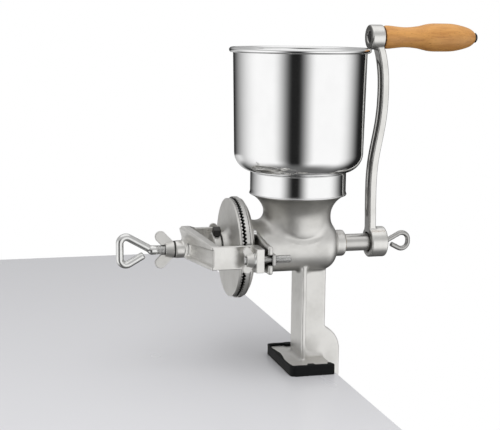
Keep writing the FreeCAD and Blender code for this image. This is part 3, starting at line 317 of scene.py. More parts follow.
def tin_coat(finish, look, roughness, edge=0.0, neck=0.0, reach=6.0, sides=0.0, under=0.0):
    """Cast iron with a tin coat: fine sandy grain, coarse dimples, random patches and pits that are rougher
    and darker, painted shade in concave creases and in gaps, and painted shade on the neck, the crank's sides
    and undersides.
    """
    grain = finish.noise(0.8, 3.0, 0.65)
    dimple = finish.noise(3.4, 2.0, 0.55)
    patch = finish.noise(24.0, 3.0, 0.6)
    pit = finish.step(finish.pits(2.4), 0.10, 0.02)
    curve = finish.node("ShaderNodeNewGeometry", output="Pointiness")
    # Painted shade: concave creases, found by pointiness, get the darker colour and a little more roughness.
    hollow = finish.step(curve, 0.5, 0.44)
    # Painted shade: ambient occlusion within reach darkens the gaps between parts.
    gap = finish.step(finish.open(reach), 0.72, 0.2)
    # Painted shade: the neck, from a little under the given height upwards, is painted darker and made
    # rougher.
    z = finish.axes(finish.place())[2]
    start = look.castings.dull_and_shade_height / MM
    neck_dull_and_shade = finish.step(z, start - 12, start + 18) * neck
    # Random patches and pits are the skin's own tone; creases and the neck add painted shade. The same mix
    # also raises roughness.
    dull_and_shade = finish.held(finish.step(patch, 0.4, 0.75) * 0.25 + hollow * 0.5 + pit * 0.2 + neck_dull_and_shade)
    skin = finish.blend(dull_and_shade, look.castings.tin, look.castings.hollow)
    # Painted shade: faces turned along X (sides) and faces turned down (under) take the dark colour.
    facing = finish.axes(finish.node("ShaderNodeTexCoord", output="Normal"))
    side = finish.step(finish.maths("ABSOLUTE", facing[0]), 0.45, 0.9) * sides
    below = finish.step(facing[2], -0.55, -0.95) * under
    skin = finish.blend(side + below, skin, look.castings.side)
    height = grain * 0.2 + dimple * 0.68 + (1.0 - pit) * 0.12
    normal = finish.bump(height, 0.07, finish.edges(edge) if edge else None)
    finish.surface(
        # Painted shade in the gaps, laid over the skin.
        Base_Color=finish.blend(gap, skin, look.castings.gap_shade),
        Metallic=1.0,
        Roughness=roughness + grain * 0.08 + dull_and_shade * 0.12,
        Normal=normal,
    )


def tinned_iron(finish, look):
    """The body's coat: rougher on the neck and painted darker there as painted shade under the hopper, with
    painted shade under the barrel.
    """
    tin_coat(finish, look, 0.36, neck=0.4, under=0.75)


def tinned_fitting(finish, look):
    """The coat of a piece whose sharp edges are eased in the shading."""
    tin_coat(finish, look, 0.42, edge=0.5)


def tinned_arm(finish, look):
    """The yoke's coat, rubbed bright."""
    tin_coat(finish, look, 0.24, reach=2.5)


def tinned_crank(finish, look):
    """The crank's coat, rubbed bright, with painted shade on the sides that the channels are in."""
    tin_coat(finish, look, 0.24, sides=0.75)


def tinned_nut(finish, look):
    """The coat of the wing nuts."""
    tin_coat(finish, look, 0.4, reach=2.5)


def burr_iron(finish, look):
    """Hard iron of the grinding discs: bright ground rims, painted shade, nearly black, between the teeth."""
    grain = finish.noise(0.7, 3.0, 0.6)
    patch = finish.noise(9.0)
    # Painted shade: ambient occlusion paints the notches between the teeth nearly black.
    gap = finish.step(finish.open(3.5), 0.93, 0.68)
    skin = finish.blend(patch, (0.86, 0.85, 0.83), (0.70, 0.69, 0.67))
    finish.surface(
        Base_Color=finish.blend(gap, skin, (0.012, 0.012, 0.011)),
        Metallic=1.0,
        Roughness=0.34 + grain * 0.14,
        Normal=finish.bump(grain, 0.05),
    )


def shaft_steel(finish, look):
    """Turned steel: fine lines round the shaft's axis."""
    lines = finish.noise(1.0, stretch=(0.16, 400.0, 400.0))
    patch = finish.noise(12.0)
    finish.surface(
        Base_Color=finish.blend(patch, (0.68, 0.67, 0.65), (0.58, 0.57, 0.55)),
        Metallic=1.0,
        Roughness=0.24 + lines * 0.10 + patch * 0.06,
        Normal=finish.bump(lines, 0.015, finish.edges(0.35)),
    )


def zinc_steel(finish, look):
    """Bright zinc plate with faint clouds, and painted shade, nearly black, in gaps and between the threads.
    """
    cloud = finish.noise(5.0, 3.0, 0.6)
    grain = finish.noise(0.5)
    # Painted shade: ambient occlusion paints the gaps and the roots of the threads nearly black.
    gap = finish.step(finish.open(2.0), 0.75, 0.25)
    plate = finish.blend(cloud, look.threads.zinc, (0.70, 0.70, 0.69))
    finish.surface(
        Base_Color=finish.blend(gap, plate, (0.03, 0.03, 0.03)),
        Metallic=1.0,
        Roughness=0.10 + cloud * 0.08 + grain * 0.04,
        Normal=finish.bump(grain, 0.02, finish.edges(0.3)),
    )


def clouded_steel(finish, size, light, dark, smoothest, swing, depth):
    """Steel with clouds of that size between two colours, and a fine grain of that depth."""
    cloud = finish.noise(size, 3.0, 0.6)
    finish.surface(
        Base_Color=finish.blend(cloud, light, dark),
        Metallic=1.0,
        Roughness=smoothest + cloud * swing,
        Normal=finish.bump(finish.noise(0.5), depth, finish.edges(0.3)),
    )


def worn_steel(finish, look):
    """Zinc plate that has gone grey."""
    clouded_steel(finish, 4.0, (0.54, 0.535, 0.52), (0.38, 0.375, 0.365), 0.18, 0.12, 0.02)


def dark_steel(finish, look):
    """Black oxide steel."""
    clouded_steel(finish, 3.0, (0.10, 0.098, 0.095), (0.045, 0.044, 0.043), 0.32, 0.16, 0.04)


def bronze(finish, look):
    """Turned bronze of the bearing bush."""
    lines = finish.noise(1.0, stretch=(0.2, 300.0, 300.0))
    cloud = finish.noise(4.0)
    finish.surface(
        Base_Color=finish.blend(cloud, (0.62, 0.42, 0.20), (0.46, 0.30, 0.14)),
        Metallic=1.0,
        Roughness=0.28 + cloud * 0.15,
        Normal=finish.bump(lines, 0.02),
    )


def polished_steel(finish, look):
    """Mirror polish with faint polishing lines that run round, and soft smears."""
    lines = finish.noise(1.0, stretch=(60.0, 60.0, 0.22))
    smear = finish.noise(22.0, 3.0, 0.6)
    finish.surface(
        Base_Color=finish.blend(smear, look.hopper.steel, (0.84, 0.84, 0.84)),
        Metallic=1.0,
        Roughness=0.07 + smear * 0.05 + lines * 0.03,
        Normal=finish.bump(lines, 0.004),
    )


def black_rubber(finish, look):
    """Moulded rubber with a dry bloom."""
    grain = finish.noise(0.8, 3.0, 0.6)
    bloom = finish.noise(11.0, 3.0, 0.6)
    finish.surface(
        Base_Color=finish.blend(bloom, look.boot.rubber, (0.010, 0.0105, 0.011)),
        Roughness=0.52 + bloom * 0.2,
        Specular_IOR_Level=0.14,
        Normal=finish.bump(grain, 0.08),
    )


def grip_wood(finish, look):
    """Lacquered beech: fibres along the grip, short dark flecks, growth bands, and painted shade where the
    grip meets the parts beside it.
    """
    band = finish.noise(5.5, 3.0, 0.55, (9.0, 1.0, 1.0))
    fibre = finish.noise(0.6, 3.0, 0.6, (16.0, 1.0, 1.0))
    fleck = finish.step(finish.pits(1.3, (4.5, 1.0, 1.0)), 0.2, 0.05)
    # Painted shade: ambient occlusion darkens the wood near the parts beside it.
    gap = finish.step(finish.open(2.5), 0.8, 0.3)
    tone = finish.held(finish.step(band, 0.3, 0.75) * 0.55 + finish.step(fibre, 0.35, 0.7) * 0.3 + gap * 0.6)
    wood = finish.blend(tone, look.grip.light, look.grip.dark)
    finish.surface(
        Base_Color=finish.blend(fleck * 0.6, wood, (0.16, 0.05, 0.014)),
        Roughness=0.38 + fibre * 0.14,
        Coat_Weight=0.12 - fleck * 0.06,
        Coat_Roughness=0.2,
        Normal=finish.bump(fibre * 0.7 - fleck * 0.3, 0.03),
    )


def table_top(finish, look):
    """Plain pale top."""
    cloud = finish.noise(180.0)
    finish.surface(
        Base_Color=finish.blend(cloud, look.stage.table, [c * 0.97 for c in look.stage.table]),
        Roughness=0.24 + cloud * 0.05,
        Specular_IOR_Level=0.45,
    )


def material(recipe):
    """The material of a finish, made the first time that it is asked for."""
    name = "mill_" + recipe.__name__
    made = bpy.data.materials.get(name)
    if made is None:
        made = bpy.data.materials.new(name)
        made.use_nodes = True
        recipe(Finish(made.node_tree), bpy.context.scene.mill)
    return made


# Meshes

def link(name, mesh):
    piece = bpy.data.objects.new(name, mesh)
    bpy.context.scene.collection.objects.link(piece)
    return piece


def dress(piece, recipe, node, replaced=True):
    """Gives a new piece its finish and the body of a CAD node, which it replaces."""
    piece.data.materials.clear()
    piece.data.materials.append(material(recipe))
    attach(piece, frame["nodes"][node]["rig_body"])
    if replaced:
        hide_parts(node)


def finish_node(node, recipe):
    """Gives a CAD node its finish."""
    piece = frame["nodes"][node]
    for place in piece.material_slots:
        place.material = material(recipe)
    if not piece.material_slots:
        piece.data.materials.append(material(recipe))


def solid_copy(node):
    """The closed mesh of a CAD node, with the seams between its faces welded."""
    bm = bmesh.new()
    bm.from_mesh(frame["nodes"][node].data)
    bmesh.ops.remove_doubles(bm, verts=bm.verts, dist=0.001 * MM)
    return bm


def made_mesh(bm, name):
    mesh = bpy.data.meshes.new(name)
    bm.to_mesh(mesh)
    bm.free()
    return mesh


def even_mesh(bm, name, grain):
    """The same shape as an even skin of small faces."""
    rough = link(name + "_rough", made_mesh(bm, name))
    skin = rough.modifiers.new("skin", "REMESH")
    skin.mode = "VOXEL"
    skin.voxel_size = grain
    skin.adaptivity = 0.0
    seen = rough.evaluated_get(bpy.context.evaluated_depsgraph_get())
    mesh = bpy.data.meshes.new_from_object(seen)
    mesh.name = name
    bpy.data.objects.remove(rough)
    return mesh


def points_of(mesh):
    points = np.empty(len(mesh.vertices) * 3)
    mesh.vertices.foreach_get("co", points)
    return points.reshape(-1, 3)


def normals_of(mesh, points):
    mesh.vertices.foreach_set("co", points.ravel())
    mesh.update()
    normals = np.empty(len(points) * 3)
    mesh.vertex_normals.foreach_get("vector", normals)
    return normals.reshape(-1, 3)


class Neighbours:
    """Means over the points that share an edge with each point."""

    def __init__(self, mesh):
        ends = np.empty(len(mesh.edges) * 2, np.int32)
        mesh.edges.foreach_get("vertices", ends)
        self.first, self.second = ends.reshape(-1, 2).T
        self.count = len(mesh.vertices)
        both = np.concatenate([self.first, self.second])
        self.degree = np.maximum(np.bincount(both, minlength=self.count), 1)

    def total(self, at_first, at_second):
        return np.bincount(self.first, at_first, self.count) + np.bincount(self.second, at_second, self.count)

    def mean(self, points):
        columns = [self.total(axis[self.second], axis[self.first]) / self.degree for axis in points.T]
        return np.stack(columns, axis=1)

    def spacing(self, points):
        """Mean square length of the edges at each point."""
        gap = ((points[self.first] - points[self.second]) ** 2).sum(1)
        return self.total(gap, gap) / self.degree


def smoothed(points, near, rounds):
    """Evens the skin without shrinking it."""
    shrink, swell = 0.5, 0.53
    for _ in range(rounds):
        points = points + shrink * (near.mean(points) - points)
        points = points - swell * (near.mean(points) - points)
    return points


def soften(mesh, edge_radius, hollow_radius, rounds, even=4):
    """Rounds the outer edges and fills the inner corners. A function can give hollow_radius per point."""
    step, slide = 0.8, 0.25
    near = Neighbours(mesh)
    points = smoothed(points_of(mesh), near, even)
    if callable(hollow_radius):
        hollow_radius = hollow_radius(points)
    for index in range(rounds):
        if index % 4 == 0:
            normals = normals_of(mesh, points)
            spacing = near.spacing(points) / 4
        pull = near.mean(points) - points
        height = (pull * normals).sum(1)
        fill = np.maximum(height - spacing / hollow_radius, 0)
        wear = np.minimum(height + spacing / edge_radius, 0)
        along = pull - normals * height[:, None]
        points = points + normals * ((fill + wear) * step)[:, None] + along * slide
    normals_of(mesh, points)
    mesh.shade_smooth()
    return mesh


def uneven(mesh, size, depth):
    """Slow swells of that size and depth, as in any sand casting."""
    points = points_of(mesh)
    normals = normals_of(mesh, points)
    swell = np.array([noise.noise(Vector(point) / size) for point in points])
    normals_of(mesh, points + normals * (swell * depth)[:, None])


def cast_piece(name, node, look, grain, edge_radius, hollow_radius, rounds, even=4, shape=None):
    """A CAD node as a casting: reshaped, softened and slightly uneven."""
    mesh = even_mesh(solid_copy(node), name, grain)
    if shape:
        normals_of(mesh, shape(points_of(mesh)))
    soften(mesh, edge_radius, hollow_radius, rounds, even)
    uneven(mesh, look.swell_size, look.swell_depth)
    return link(name, mesh)


def arc_points(centre, radius, start, end, steps):
    """Points (radius from the axis, height) on an arc, from start to end in degrees."""
    turns = [radians(start + (end - start) * index / steps) for index in range(steps + 1)]
    return [(centre[0] + radius * cos(turn), centre[1] + radius * sin(turn)) for turn in turns]


def wall_rows(start, end, rows):
    """Points along a straight wall, so that its shading doesn't follow the bends at its ends."""
    parts = [index / rows for index in range(1, rows + 1)]
    return [(start[0] + (end[0] - start[0]) * part, start[1] + (end[1] - start[1]) * part) for part in parts]


def ring_faces(rings, count, closed=True):
    """Faces between rings of count points each. closed joins the last ring to the first."""
    faces = []
    for ring in range(rings if closed else rings - 1):
        here, there = ring * count, (ring + 1) % rings * count
        for step in range(count):
            after = (step + 1) % count
            faces.append((here + step, here + after, there + after, there + step))
    return faces


def smooth_mesh(name, points, faces, sharp):
    """A closed mesh, shaded smooth up to that angle between faces, in degrees."""
    mesh = bpy.data.meshes.new(name)
    mesh.from_pydata(points, [], faces)
    mesh.update()
    bm = bmesh.new()
    bm.from_mesh(mesh)
    bmesh.ops.recalc_face_normals(bm, faces=bm.faces)
    bm.to_mesh(mesh)
    bm.free()
    mesh.shade_smooth()
    mesh.set_sharp_from_angle(angle=radians(sharp))
    return mesh


def turned_mesh(name, outline, axis, origin, segments):
    """A closed outline of (radius, height) turned round an axis."""
    along = Vector(axis)
    across = Vector((0, 0, 1)) if abs(along.z) < 0.5 else Vector((1, 0, 0))
    side = along.cross(across)
    points = []
    for index in range(segments):
        turn = 2 * pi * index / segments
        out = across * cos(turn) + side * sin(turn)
        points += [Vector(origin) + along * height + out * radius for radius, height in outline]
    return smooth_mesh(name, points, ring_faces(segments, len(outline)), 35)


def threaded_mesh(name, start, end, radius, pitch, depth, tip=0.6 * MM):
    """A rod from start to end with a cut thread and chamfered ends."""
    axis = (end - start).normalized()
    across = Vector((0, 1, 0)) if abs(axis.y) < 0.5 else Vector((1, 0, 0))
    side = axis.cross(across)
    total = (end - start).length
    segments = 36
    rings = max(2, round(total / pitch * 8))
    points = []
    for ring in range(rings + 1):
        height = total * ring / rings
        from_end = min(height, total - height)
        for index in range(segments):
            turn = 2 * pi * index / segments
            phase = (height / pitch - index / segments) % 1.0
            groove = max(0.0, 1.0 - abs(phase - 0.5) * 2.4)
            r = min(radius - depth * groove, radius - tip + from_end)
            points.append(start + axis * height + across * (r * cos(turn)) + side * (r * sin(turn)))
    faces = ring_faces(rings + 1, segments, closed=False)
    faces.append(tuple(reversed(range(segments))))
    faces.append(tuple(range(rings * segments, (rings + 1) * segments)))
    return smooth_mesh(name, points, faces, 50)


def joined_mesh(name, meshes):
    """Several meshes as one."""
    bm = bmesh.new()
    for mesh in meshes:
        bm.from_mesh(mesh)
        bpy.data.meshes.remove(mesh)
    made = made_mesh(bm, name)
    made.set_sharp_from_angle(angle=radians(50))
    return made


def eye_piece(name, node, grain, root, away):
    """The bent eye of a screw, cut off at its root and made smooth."""
    bm = solid_copy(node)
    geometry = bm.verts[:] + bm.edges[:] + bm.faces[:]
    bmesh.ops.bisect_plane(bm, geom=geometry, plane_co=root, plane_no=away, clear_inner=True)
    bmesh.ops.holes_fill(bm, edges=[edge for edge in bm.edges if edge.is_boundary])
    mesh = even_mesh(bm, name, grain)
    return link(name, soften(mesh, 3 * MM, 2.4 * MM, 24, even=10))


def bevelled_copy(name, node, width):
    """A CAD node with its sharp edges cut back."""
    bm = solid_copy(node)
    bmesh.ops.dissolve_limit(bm, angle_limit=radians(1), verts=bm.verts, edges=bm.edges)
    sharp = [edge for edge in bm.edges if edge.is_manifold and edge.calc_face_angle() > radians(40)]
    bmesh.ops.bevel(bm, geom=sharp, offset=width, segments=3, profile=0.6, affect="EDGES")
    mesh = made_mesh(bm, name)
    mesh.shade_smooth()
    mesh.set_sharp_from_angle(angle=radians(32))
    return link(name, mesh)


def centre_of(node):
    low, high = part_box(node)
    return (low + high) / 2


# Operators

class MILL_OT_castings(bpy.types.Operator):
    """Body, yoke and crank as iron castings with rounded edges and filled corners"""
    bl_idname = "mill.castings"
    bl_label = "Castings"

    def execute(self, context):
        look = context.scene.mill.castings
        body_rounds, arm_rounds = ((340, 30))

        def body_hollows(points):
            """Wide where the neck meets the barrel, tight beside turned seats and on the bracket."""
            x, y, z = points.T
            bush_low, bush_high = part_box("rear_bushing")
            throat = 20 * MM
            margin = 8 * MM
            radius = np.full(len(points), look.hollow_radius)
            neck = (z > bush_high.z) & (np.hypot(x, y) > throat)
            radius[neck] = look.neck_radius
            seats = (x > bush_low.x + 5 * MM) & (z > bush_low.z - margin)
            seats |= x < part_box("fixed_burr")[1].x + margin
            seats |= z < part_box("foot_boot")[0].z + 2 * MM
            radius[seats] = look.seat_radius
            return radius

        def slim_neck(points):
            """Draws the neck in along Y until its front almost lies flush with the barrel."""
            x, y, z = points.T
            bush_low, bush_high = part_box("rear_bushing")
            above = z - (bush_low.z + bush_high.z) / 2
            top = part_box("hopper_collar")[0].z
            widest = 52 * MM
            waist = top - 27 * MM
            on_neck = (np.hypot(y, above) > look.barrel_radius + 0.6 * MM) & (np.hypot(x, y) < widest)
            on_neck &= (above > 2 * MM) & (z < top)
            rise = np.clip((z - waist) / (25 * MM), 0, 1)
            width = 1 - (1 - look.neck_width) * (1 - rise * rise * (3 - 2 * rise))
            least = np.sqrt(np.maximum(look.barrel_radius ** 2 - above ** 2, 0))
            drawn = np.maximum(np.abs(y) * width, np.minimum(np.abs(y), least))
            return np.stack([x, np.where(on_neck, np.sign(y) * drawn, y), z], axis=1)

        body = cast_piece("cast_body", "body_casting", look, look.body_grain, look.edge_radius,
                          body_hollows, body_rounds, shape=slim_neck)
        dress(body, tinned_iron, "body_casting")

        yoke = cast_piece("cast_yoke", "yoke", look, look.arm_grain, look.arm_edge, look.arm_hollow,
                          arm_rounds, 2)
        dress(yoke, tinned_arm, "yoke")

        crank = cast_piece("cast_crank", "crank_arm", look, look.arm_grain, look.crank_edge,
                           look.crank_hollow, arm_rounds * 3, 2)
        self.cut_channels(crank.data, look)
        dress(crank, tinned_crank, "crank_arm")
        return {"FINISHED"}

    def cut_channels(self, mesh, look):
        """Sinks a shallow channel into both broad sides of the crank's arm."""
        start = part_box("rear_bushing")[1].z + 16 * MM
        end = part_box("handle_washer")[0].z - 12 * MM
        points = points_of(mesh)
        normals = normals_of(mesh, points)
        x, y, z = points.T
        half = look.channel_width / 2
        wall = 1.5 * MM
        across = np.clip((half - np.abs(y)) / wall, 0, 1)
        along = np.clip((z - start) / (8 * wall), 0, 1) * np.clip((end - z) / (8 * wall), 0, 1)
        sides = np.clip((np.abs(normals[:, 0]) - 0.6) / 0.2, 0, 1)
        ease = across * along
        depth = look.channel_depth * ease * ease * (3 - 2 * ease) * sides
        points[:, 0] -= np.sign(normals[:, 0]) * depth
        near = Neighbours(mesh)
        normals_of(mesh, smoothed(points, near, 2))


class MILL_OT_wing_nuts(bpy.types.Operator):
    """Cast wing nuts of the yoke bolts and of the adjusting screw"""
    bl_idname = "mill.wing_nuts"
    bl_label = "Wing Nuts"

    def execute(self, context):
        look = context.scene.mill.castings
        rounds = 30
        for node in ("wing_nut_near", "wing_nut_far", "lock_nut"):
            piece = cast_piece("cast_" + node, node, look, look.nut_grain, look.arm_edge, look.nut_hollow,
                               rounds)
            dress(piece, tinned_nut, node)
        return {"FINISHED"}


class MILL_OT_screws(bpy.types.Operator):
    """Threaded rods with bent eyes: adjusting screw, clamp screw, yoke bolts and the crank's screw"""
    bl_idname = "mill.screws"
    bl_label = "Screws"

    def execute(self, context):
        look = context.scene.mill.threads
        self.adjusting_screw(look)
        self.clamp_screw(look)
        self.yoke_bolts(look)
        self.crank_screw(look)
        return {"FINISHED"}

    def adjusting_screw(self, look):
        low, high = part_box("adjusting_screw")
        axis_z = centre_of("adjusting_screw").z
        cut = Vector((low.x + look.eye_length + 6 * MM, 0, axis_z))
        end = Vector((high.x - 1.2 * MM, 0, axis_z))
        self.bent_screw("adjusting", look, cut, Vector((-1, 0, 0)), end, 5 * MM, look.screw_pitch)

    def clamp_screw(self, look):
        x = centre_of("clamp_pad").x
        cut = Vector((x, 0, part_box("clamp_screw")[0].z + look.clamp_eye_length + 3 * MM))
        end = Vector((x, 0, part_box("clamp_pad")[0].z - 0.05 * MM))
        self.bent_screw("clamp", look, cut, Vector((0, 0, -1)), end, 6 * MM, look.clamp_pitch)

    def bent_screw(self, name, look, cut, away, end, radius, pitch):
        """The eye that lies beyond the cut, and the thread from the cut to the end."""
        node = name + "_screw"
        eye = eye_piece(name + "_eye", node, look.eye_grain, cut, away)
        dress(eye, zinc_steel, node)
        overlap = away * MM
        thread = threaded_mesh(name + "_thread", cut + overlap, end, radius, pitch, pitch * look.depth)
        dress(link(name + "_thread", thread), zinc_steel, node, replaced=False)

    def yoke_bolts(self, look):
        low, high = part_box("yoke_bolts")
        radius = 4.0 * MM
        axis_z = centre_of("yoke_bolts").z
        rods = []
        for y in (low.y + radius, high.y - radius):
            rods.append(threaded_mesh("bolt", Vector((low.x, y, axis_z)), Vector((high.x, y, axis_z)), radius,
                                      look.bolt_pitch, look.bolt_pitch * look.depth))
        piece = link("threaded_bolts", joined_mesh("threaded_bolts", rods))
        dress(piece, zinc_steel, "yoke_bolts")

    def crank_screw(self, look):
        mesh = even_mesh(solid_copy("crank_screw"), "crank_eye", look.eye_grain * 0.75)
        piece = link("crank_eye", soften(mesh, 2 * MM, 1.6 * MM, 12, even=8))
        dress(piece, worn_steel, "crank_screw")


class MILL_OT_discs(bpy.types.Operator):
    """The two grinding discs, their teeth half a pitch apart"""
    bl_idname = "mill.discs"
    bl_label = "Discs"

    def execute(self, context):
        look = context.scene.mill.discs
        discs = (("fixed_disc", "fixed_burr", -1, 0.0), ("moving_disc", "moving_burr", 1, 0.5))
        for name, node, side, shift in discs:
            piece = link(name, self.toothed_disc(name, node, look, side, shift))
            dress(piece, burr_iron, node)
        return {"FINISHED"}

    def toothed_disc(self, name, node, look, side, shift):
        """A disc with radial notches in its +X face (side 1) or its -X face (side -1)."""
        low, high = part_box(node)
        centre = (low + high) / 2
        rim = (high.y - low.y) / 2
        face, back = (high.x, low.x) if side > 0 else (low.x, high.x)
        inner = rim - look.tooth_band
        rows = ((look.bore_radius, 0.0), (inner - 1 * MM, 0.0), (inner, 0.5), (rim - 3 * MM, 0.9), (rim, 1.0))
        steps = 8
        count = look.teeth * steps
        points = []
        for index in range(count):
            turn = 2 * pi * index / count
            # Full depth over the middle third of each pitch.
            notch = min(1.0, 1.5 * (1 - abs(2 * ((index / steps + shift) % 1.0) - 1)))
            profile = [(radius, face - side * look.tooth_depth * depth * notch) for radius, depth in rows]
            profile += [(rim, back + side * look.chamfer), (rim - look.chamfer, back)]
            profile.append((look.bore_radius, back))
            points += [(x, centre.y + r * sin(turn), centre.z + r * cos(turn)) for r, x in profile]
        return smooth_mesh(name, points, ring_faces(count, len(profile)), 30)


class MILL_OT_hopper(bpy.types.Operator):
    """Polished steel bowl with a rolled rim, and its collar"""
    bl_idname = "mill.hopper"
    bl_label = "Hopper"

    def execute(self, context):
        look = context.scene.mill.hopper
        for name, node, outline in (("steel_bowl", "hopper_bowl", self.bowl_outline(look)),
                                    ("steel_collar", "hopper_collar", self.collar_outline(look))):
            mesh = turned_mesh(name, outline, (0, 0, 1), (0, 0, 0), look.segments)
            dress(link(name, mesh), polished_steel, node)
        return {"FINISHED"}

    def bowl_outline(self, look):
        low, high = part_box("hopper_bowl")
        rim = high.x
        top = rim - 2 * look.roll + look.wall
        foot = top - look.taper
        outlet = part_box("hopper_collar")[1].x - look.bead_reach - look.ledge
        roll_centre = (rim - look.roll, high.z - look.roll)
        corner = (foot - look.foot_round, low.z + look.foot_round)
        lean = degrees(atan2(look.taper, high.z - low.z))
        outside = [(outlet, low.z)]
        outside += arc_points(corner, look.foot_round, -90, -lean * 0.5, 20)
        outside += wall_rows(outside[-1], (top, high.z - 2 * look.roll - 0.4 * MM), 16)
        outside += arc_points(roll_centre, look.roll, -120, 180, 22)
        inside = [(top - look.wall, high.z - 2 * look.roll)]
        inside += arc_points(corner, look.foot_round - look.wall, -lean * 0.5, -90, 20)
        inside.append((outlet, low.z + look.wall))
        return outside + inside

    def collar_outline(self, look):
        low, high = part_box("hopper_collar")
        ring = high.x - look.bead_reach
        outlet = ring - look.ledge
        bead = (ring + look.bead_reach - look.bead, low.z + look.bead)
        bend = 1.6 * MM
        shoulder = (ring - bend, high.z - bend)
        outline = arc_points(bead, look.bead, -180, 60, 14)
        outline += wall_rows((ring, low.z + 2 * look.bead + 0.3 * MM), (ring, shoulder[1]), 10)
        outline += arc_points(shoulder, bend, 0, 90, 8)[1:]
        outline += [(outlet, high.z), (outlet, high.z - look.wall)]
        outline += arc_points(shoulder, bend - look.wall, 90, 0, 4)
        outline.append((ring - look.wall, low.z + look.bead))
        return outline


class MILL_OT_boot(bpy.types.Operator):
    """Soft rubber boot with an uneven lip"""
    bl_idname = "mill.boot"
    bl_label = "Boot"

    def execute(self, context):
        look = context.scene.mill.boot
        mesh = even_mesh(solid_copy("foot_boot"), "rubber_boot", look.grain)
        soften(mesh, 0.6 * MM, 0.6 * MM, 10, even=2)
        self.shape_lip(mesh, look)
        dress(link("rubber_boot", mesh), black_rubber, "foot_boot")
        return {"FINISHED"}

    def shape_lip(self, mesh, look):
        """Draws the front lip outwards in soft scallops, and lowers the whole lip by slow waves."""
        low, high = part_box("foot_boot")
        points = points_of(mesh)
        x, y, z = points.T
        lip_width, lip_height, scallop = 5.2 * MM, 2.9 * MM, 58 * MM
        front = np.clip((low.x + lip_width - x) / MM, 0, 1)
        lip = np.clip((z - high.z + lip_height) / (1.2 * MM), 0, 1)
        width = 0.65 + 0.35 * np.cos(2 * pi * (y - 5 * MM) / scallop)
        points[:, 0] -= (x - low.x) * (1 - width) * front * lip
        along = x * 0.9 + np.abs(y) * 1.1
        wave = 0.5 + 0.5 * np.sin(along / (5.5 * MM)) * np.cos(along / (13.0 * MM) + 1.0)
        lift = np.clip((z - low.z) / (high.z - low.z), 0, 1) ** 2
        points[:, 2] -= wave * lift * look.waviness
        normals_of(mesh, points)


class MILL_OT_grip(bpy.types.Operator):
    """Turned wooden grip"""
    bl_idname = "mill.grip"
    bl_label = "Grip"

    def execute(self, context):
        look = context.scene.mill.grip
        low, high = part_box("handle_grip")
        mesh = turned_mesh("wooden_grip", self.outline(look, low.x, high.x - low.x), (1, 0, 0),
                           (0, 0, centre_of("handle_grip").z), 96)
        dress(link("wooden_grip", mesh), grip_wood, "handle_grip")
        return {"FINISHED"}

    def outline(self, look, start, total):
        shares = (0.0, 0.045, 0.22, 0.36, 0.5, 0.63, 0.76, 0.87, 0.945, 0.985)
        rise = look.belly_radius - look.neck_radius
        slope = look.neck_radius + 0.91 * rise
        radii = (look.end_radius - 0.8 * MM, look.end_radius, look.neck_radius,
                 look.neck_radius + 0.23 * rise, slope, look.belly_radius, slope,
                 look.shoulder_radius, (look.shoulder_radius + look.tip_radius) / 2, look.tip_radius)
        points = [(start + total * s, r) for s, r in zip(shares, radii)]
        outline = [(look.bore_radius, start)]
        outline += [(min(r, look.belly_radius), x) for x, r in smooth_line(points, 8)]
        outline += [(look.tip_radius - 1.6 * MM, start + total), (look.bore_radius, start + total)]
        return outline


def smooth_line(points, steps):
    """Points on a smooth curve through the given ones."""
    padded = [points[0], *points, points[-1]]
    line = []
    for index in range(len(points) - 1):
        p0, p1, p2, p3 = (np.array(p) for p in padded[index:index + 4])
        for step in range(steps):
            t = step / steps
            line.append(tuple(0.5 * (
                2 * p1 + (p2 - p0) * t + (2 * p0 - 5 * p1 + 4 * p2 - p3) * t ** 2
                + (3 * p1 - p0 - 3 * p2 + p3) * t ** 3)))
    line.append(points[-1])
    return line


class MILL_OT_square_pieces(bpy.types.Operator):
    """Square nuts, set screw and shaft collar with broken edges"""
    bl_idname = "mill.square_pieces"
    bl_label = "Square Pieces"

    def execute(self, context):
        for name, node, width, recipe, slot in (
            ("square_nuts", "rear_nuts", 0.9 * MM, worn_steel, "zinc_steel"),
            ("square_set_screw", "collar_set_screw", 0.7 * MM, dark_steel, "dark_steel"),
            ("collar", "shaft_collar", 0.5 * MM, tinned_fitting, "tinned_iron"),
        ):
            dress(bevelled_copy(name, node, width), recipe, node)
        return {"FINISHED"}


class MILL_OT_fittings(bpy.types.Operator):
    """Finishes of the pieces whose shape stays as it is"""
    bl_idname = "mill.fittings"
    bl_label = "Fittings"

    def execute(self, context):
        finishes = {
            tinned_fitting: ("burr_carrier", "clamp_pad"),
            shaft_steel: ("drive_shaft",),
            zinc_steel: ("burr_screws", "yoke_washer_near", "yoke_washer_far", "handle_washer", "drive_pins",
                         "thrust_ball"),
            dark_steel: ("handle_bolt", "handle_nut", "lock_washer"),
            bronze: ("rear_bushing",),
        }
        for recipe, nodes in finishes.items():
            for node in nodes:
                finish_node(node, recipe)
        return {"FINISHED"}


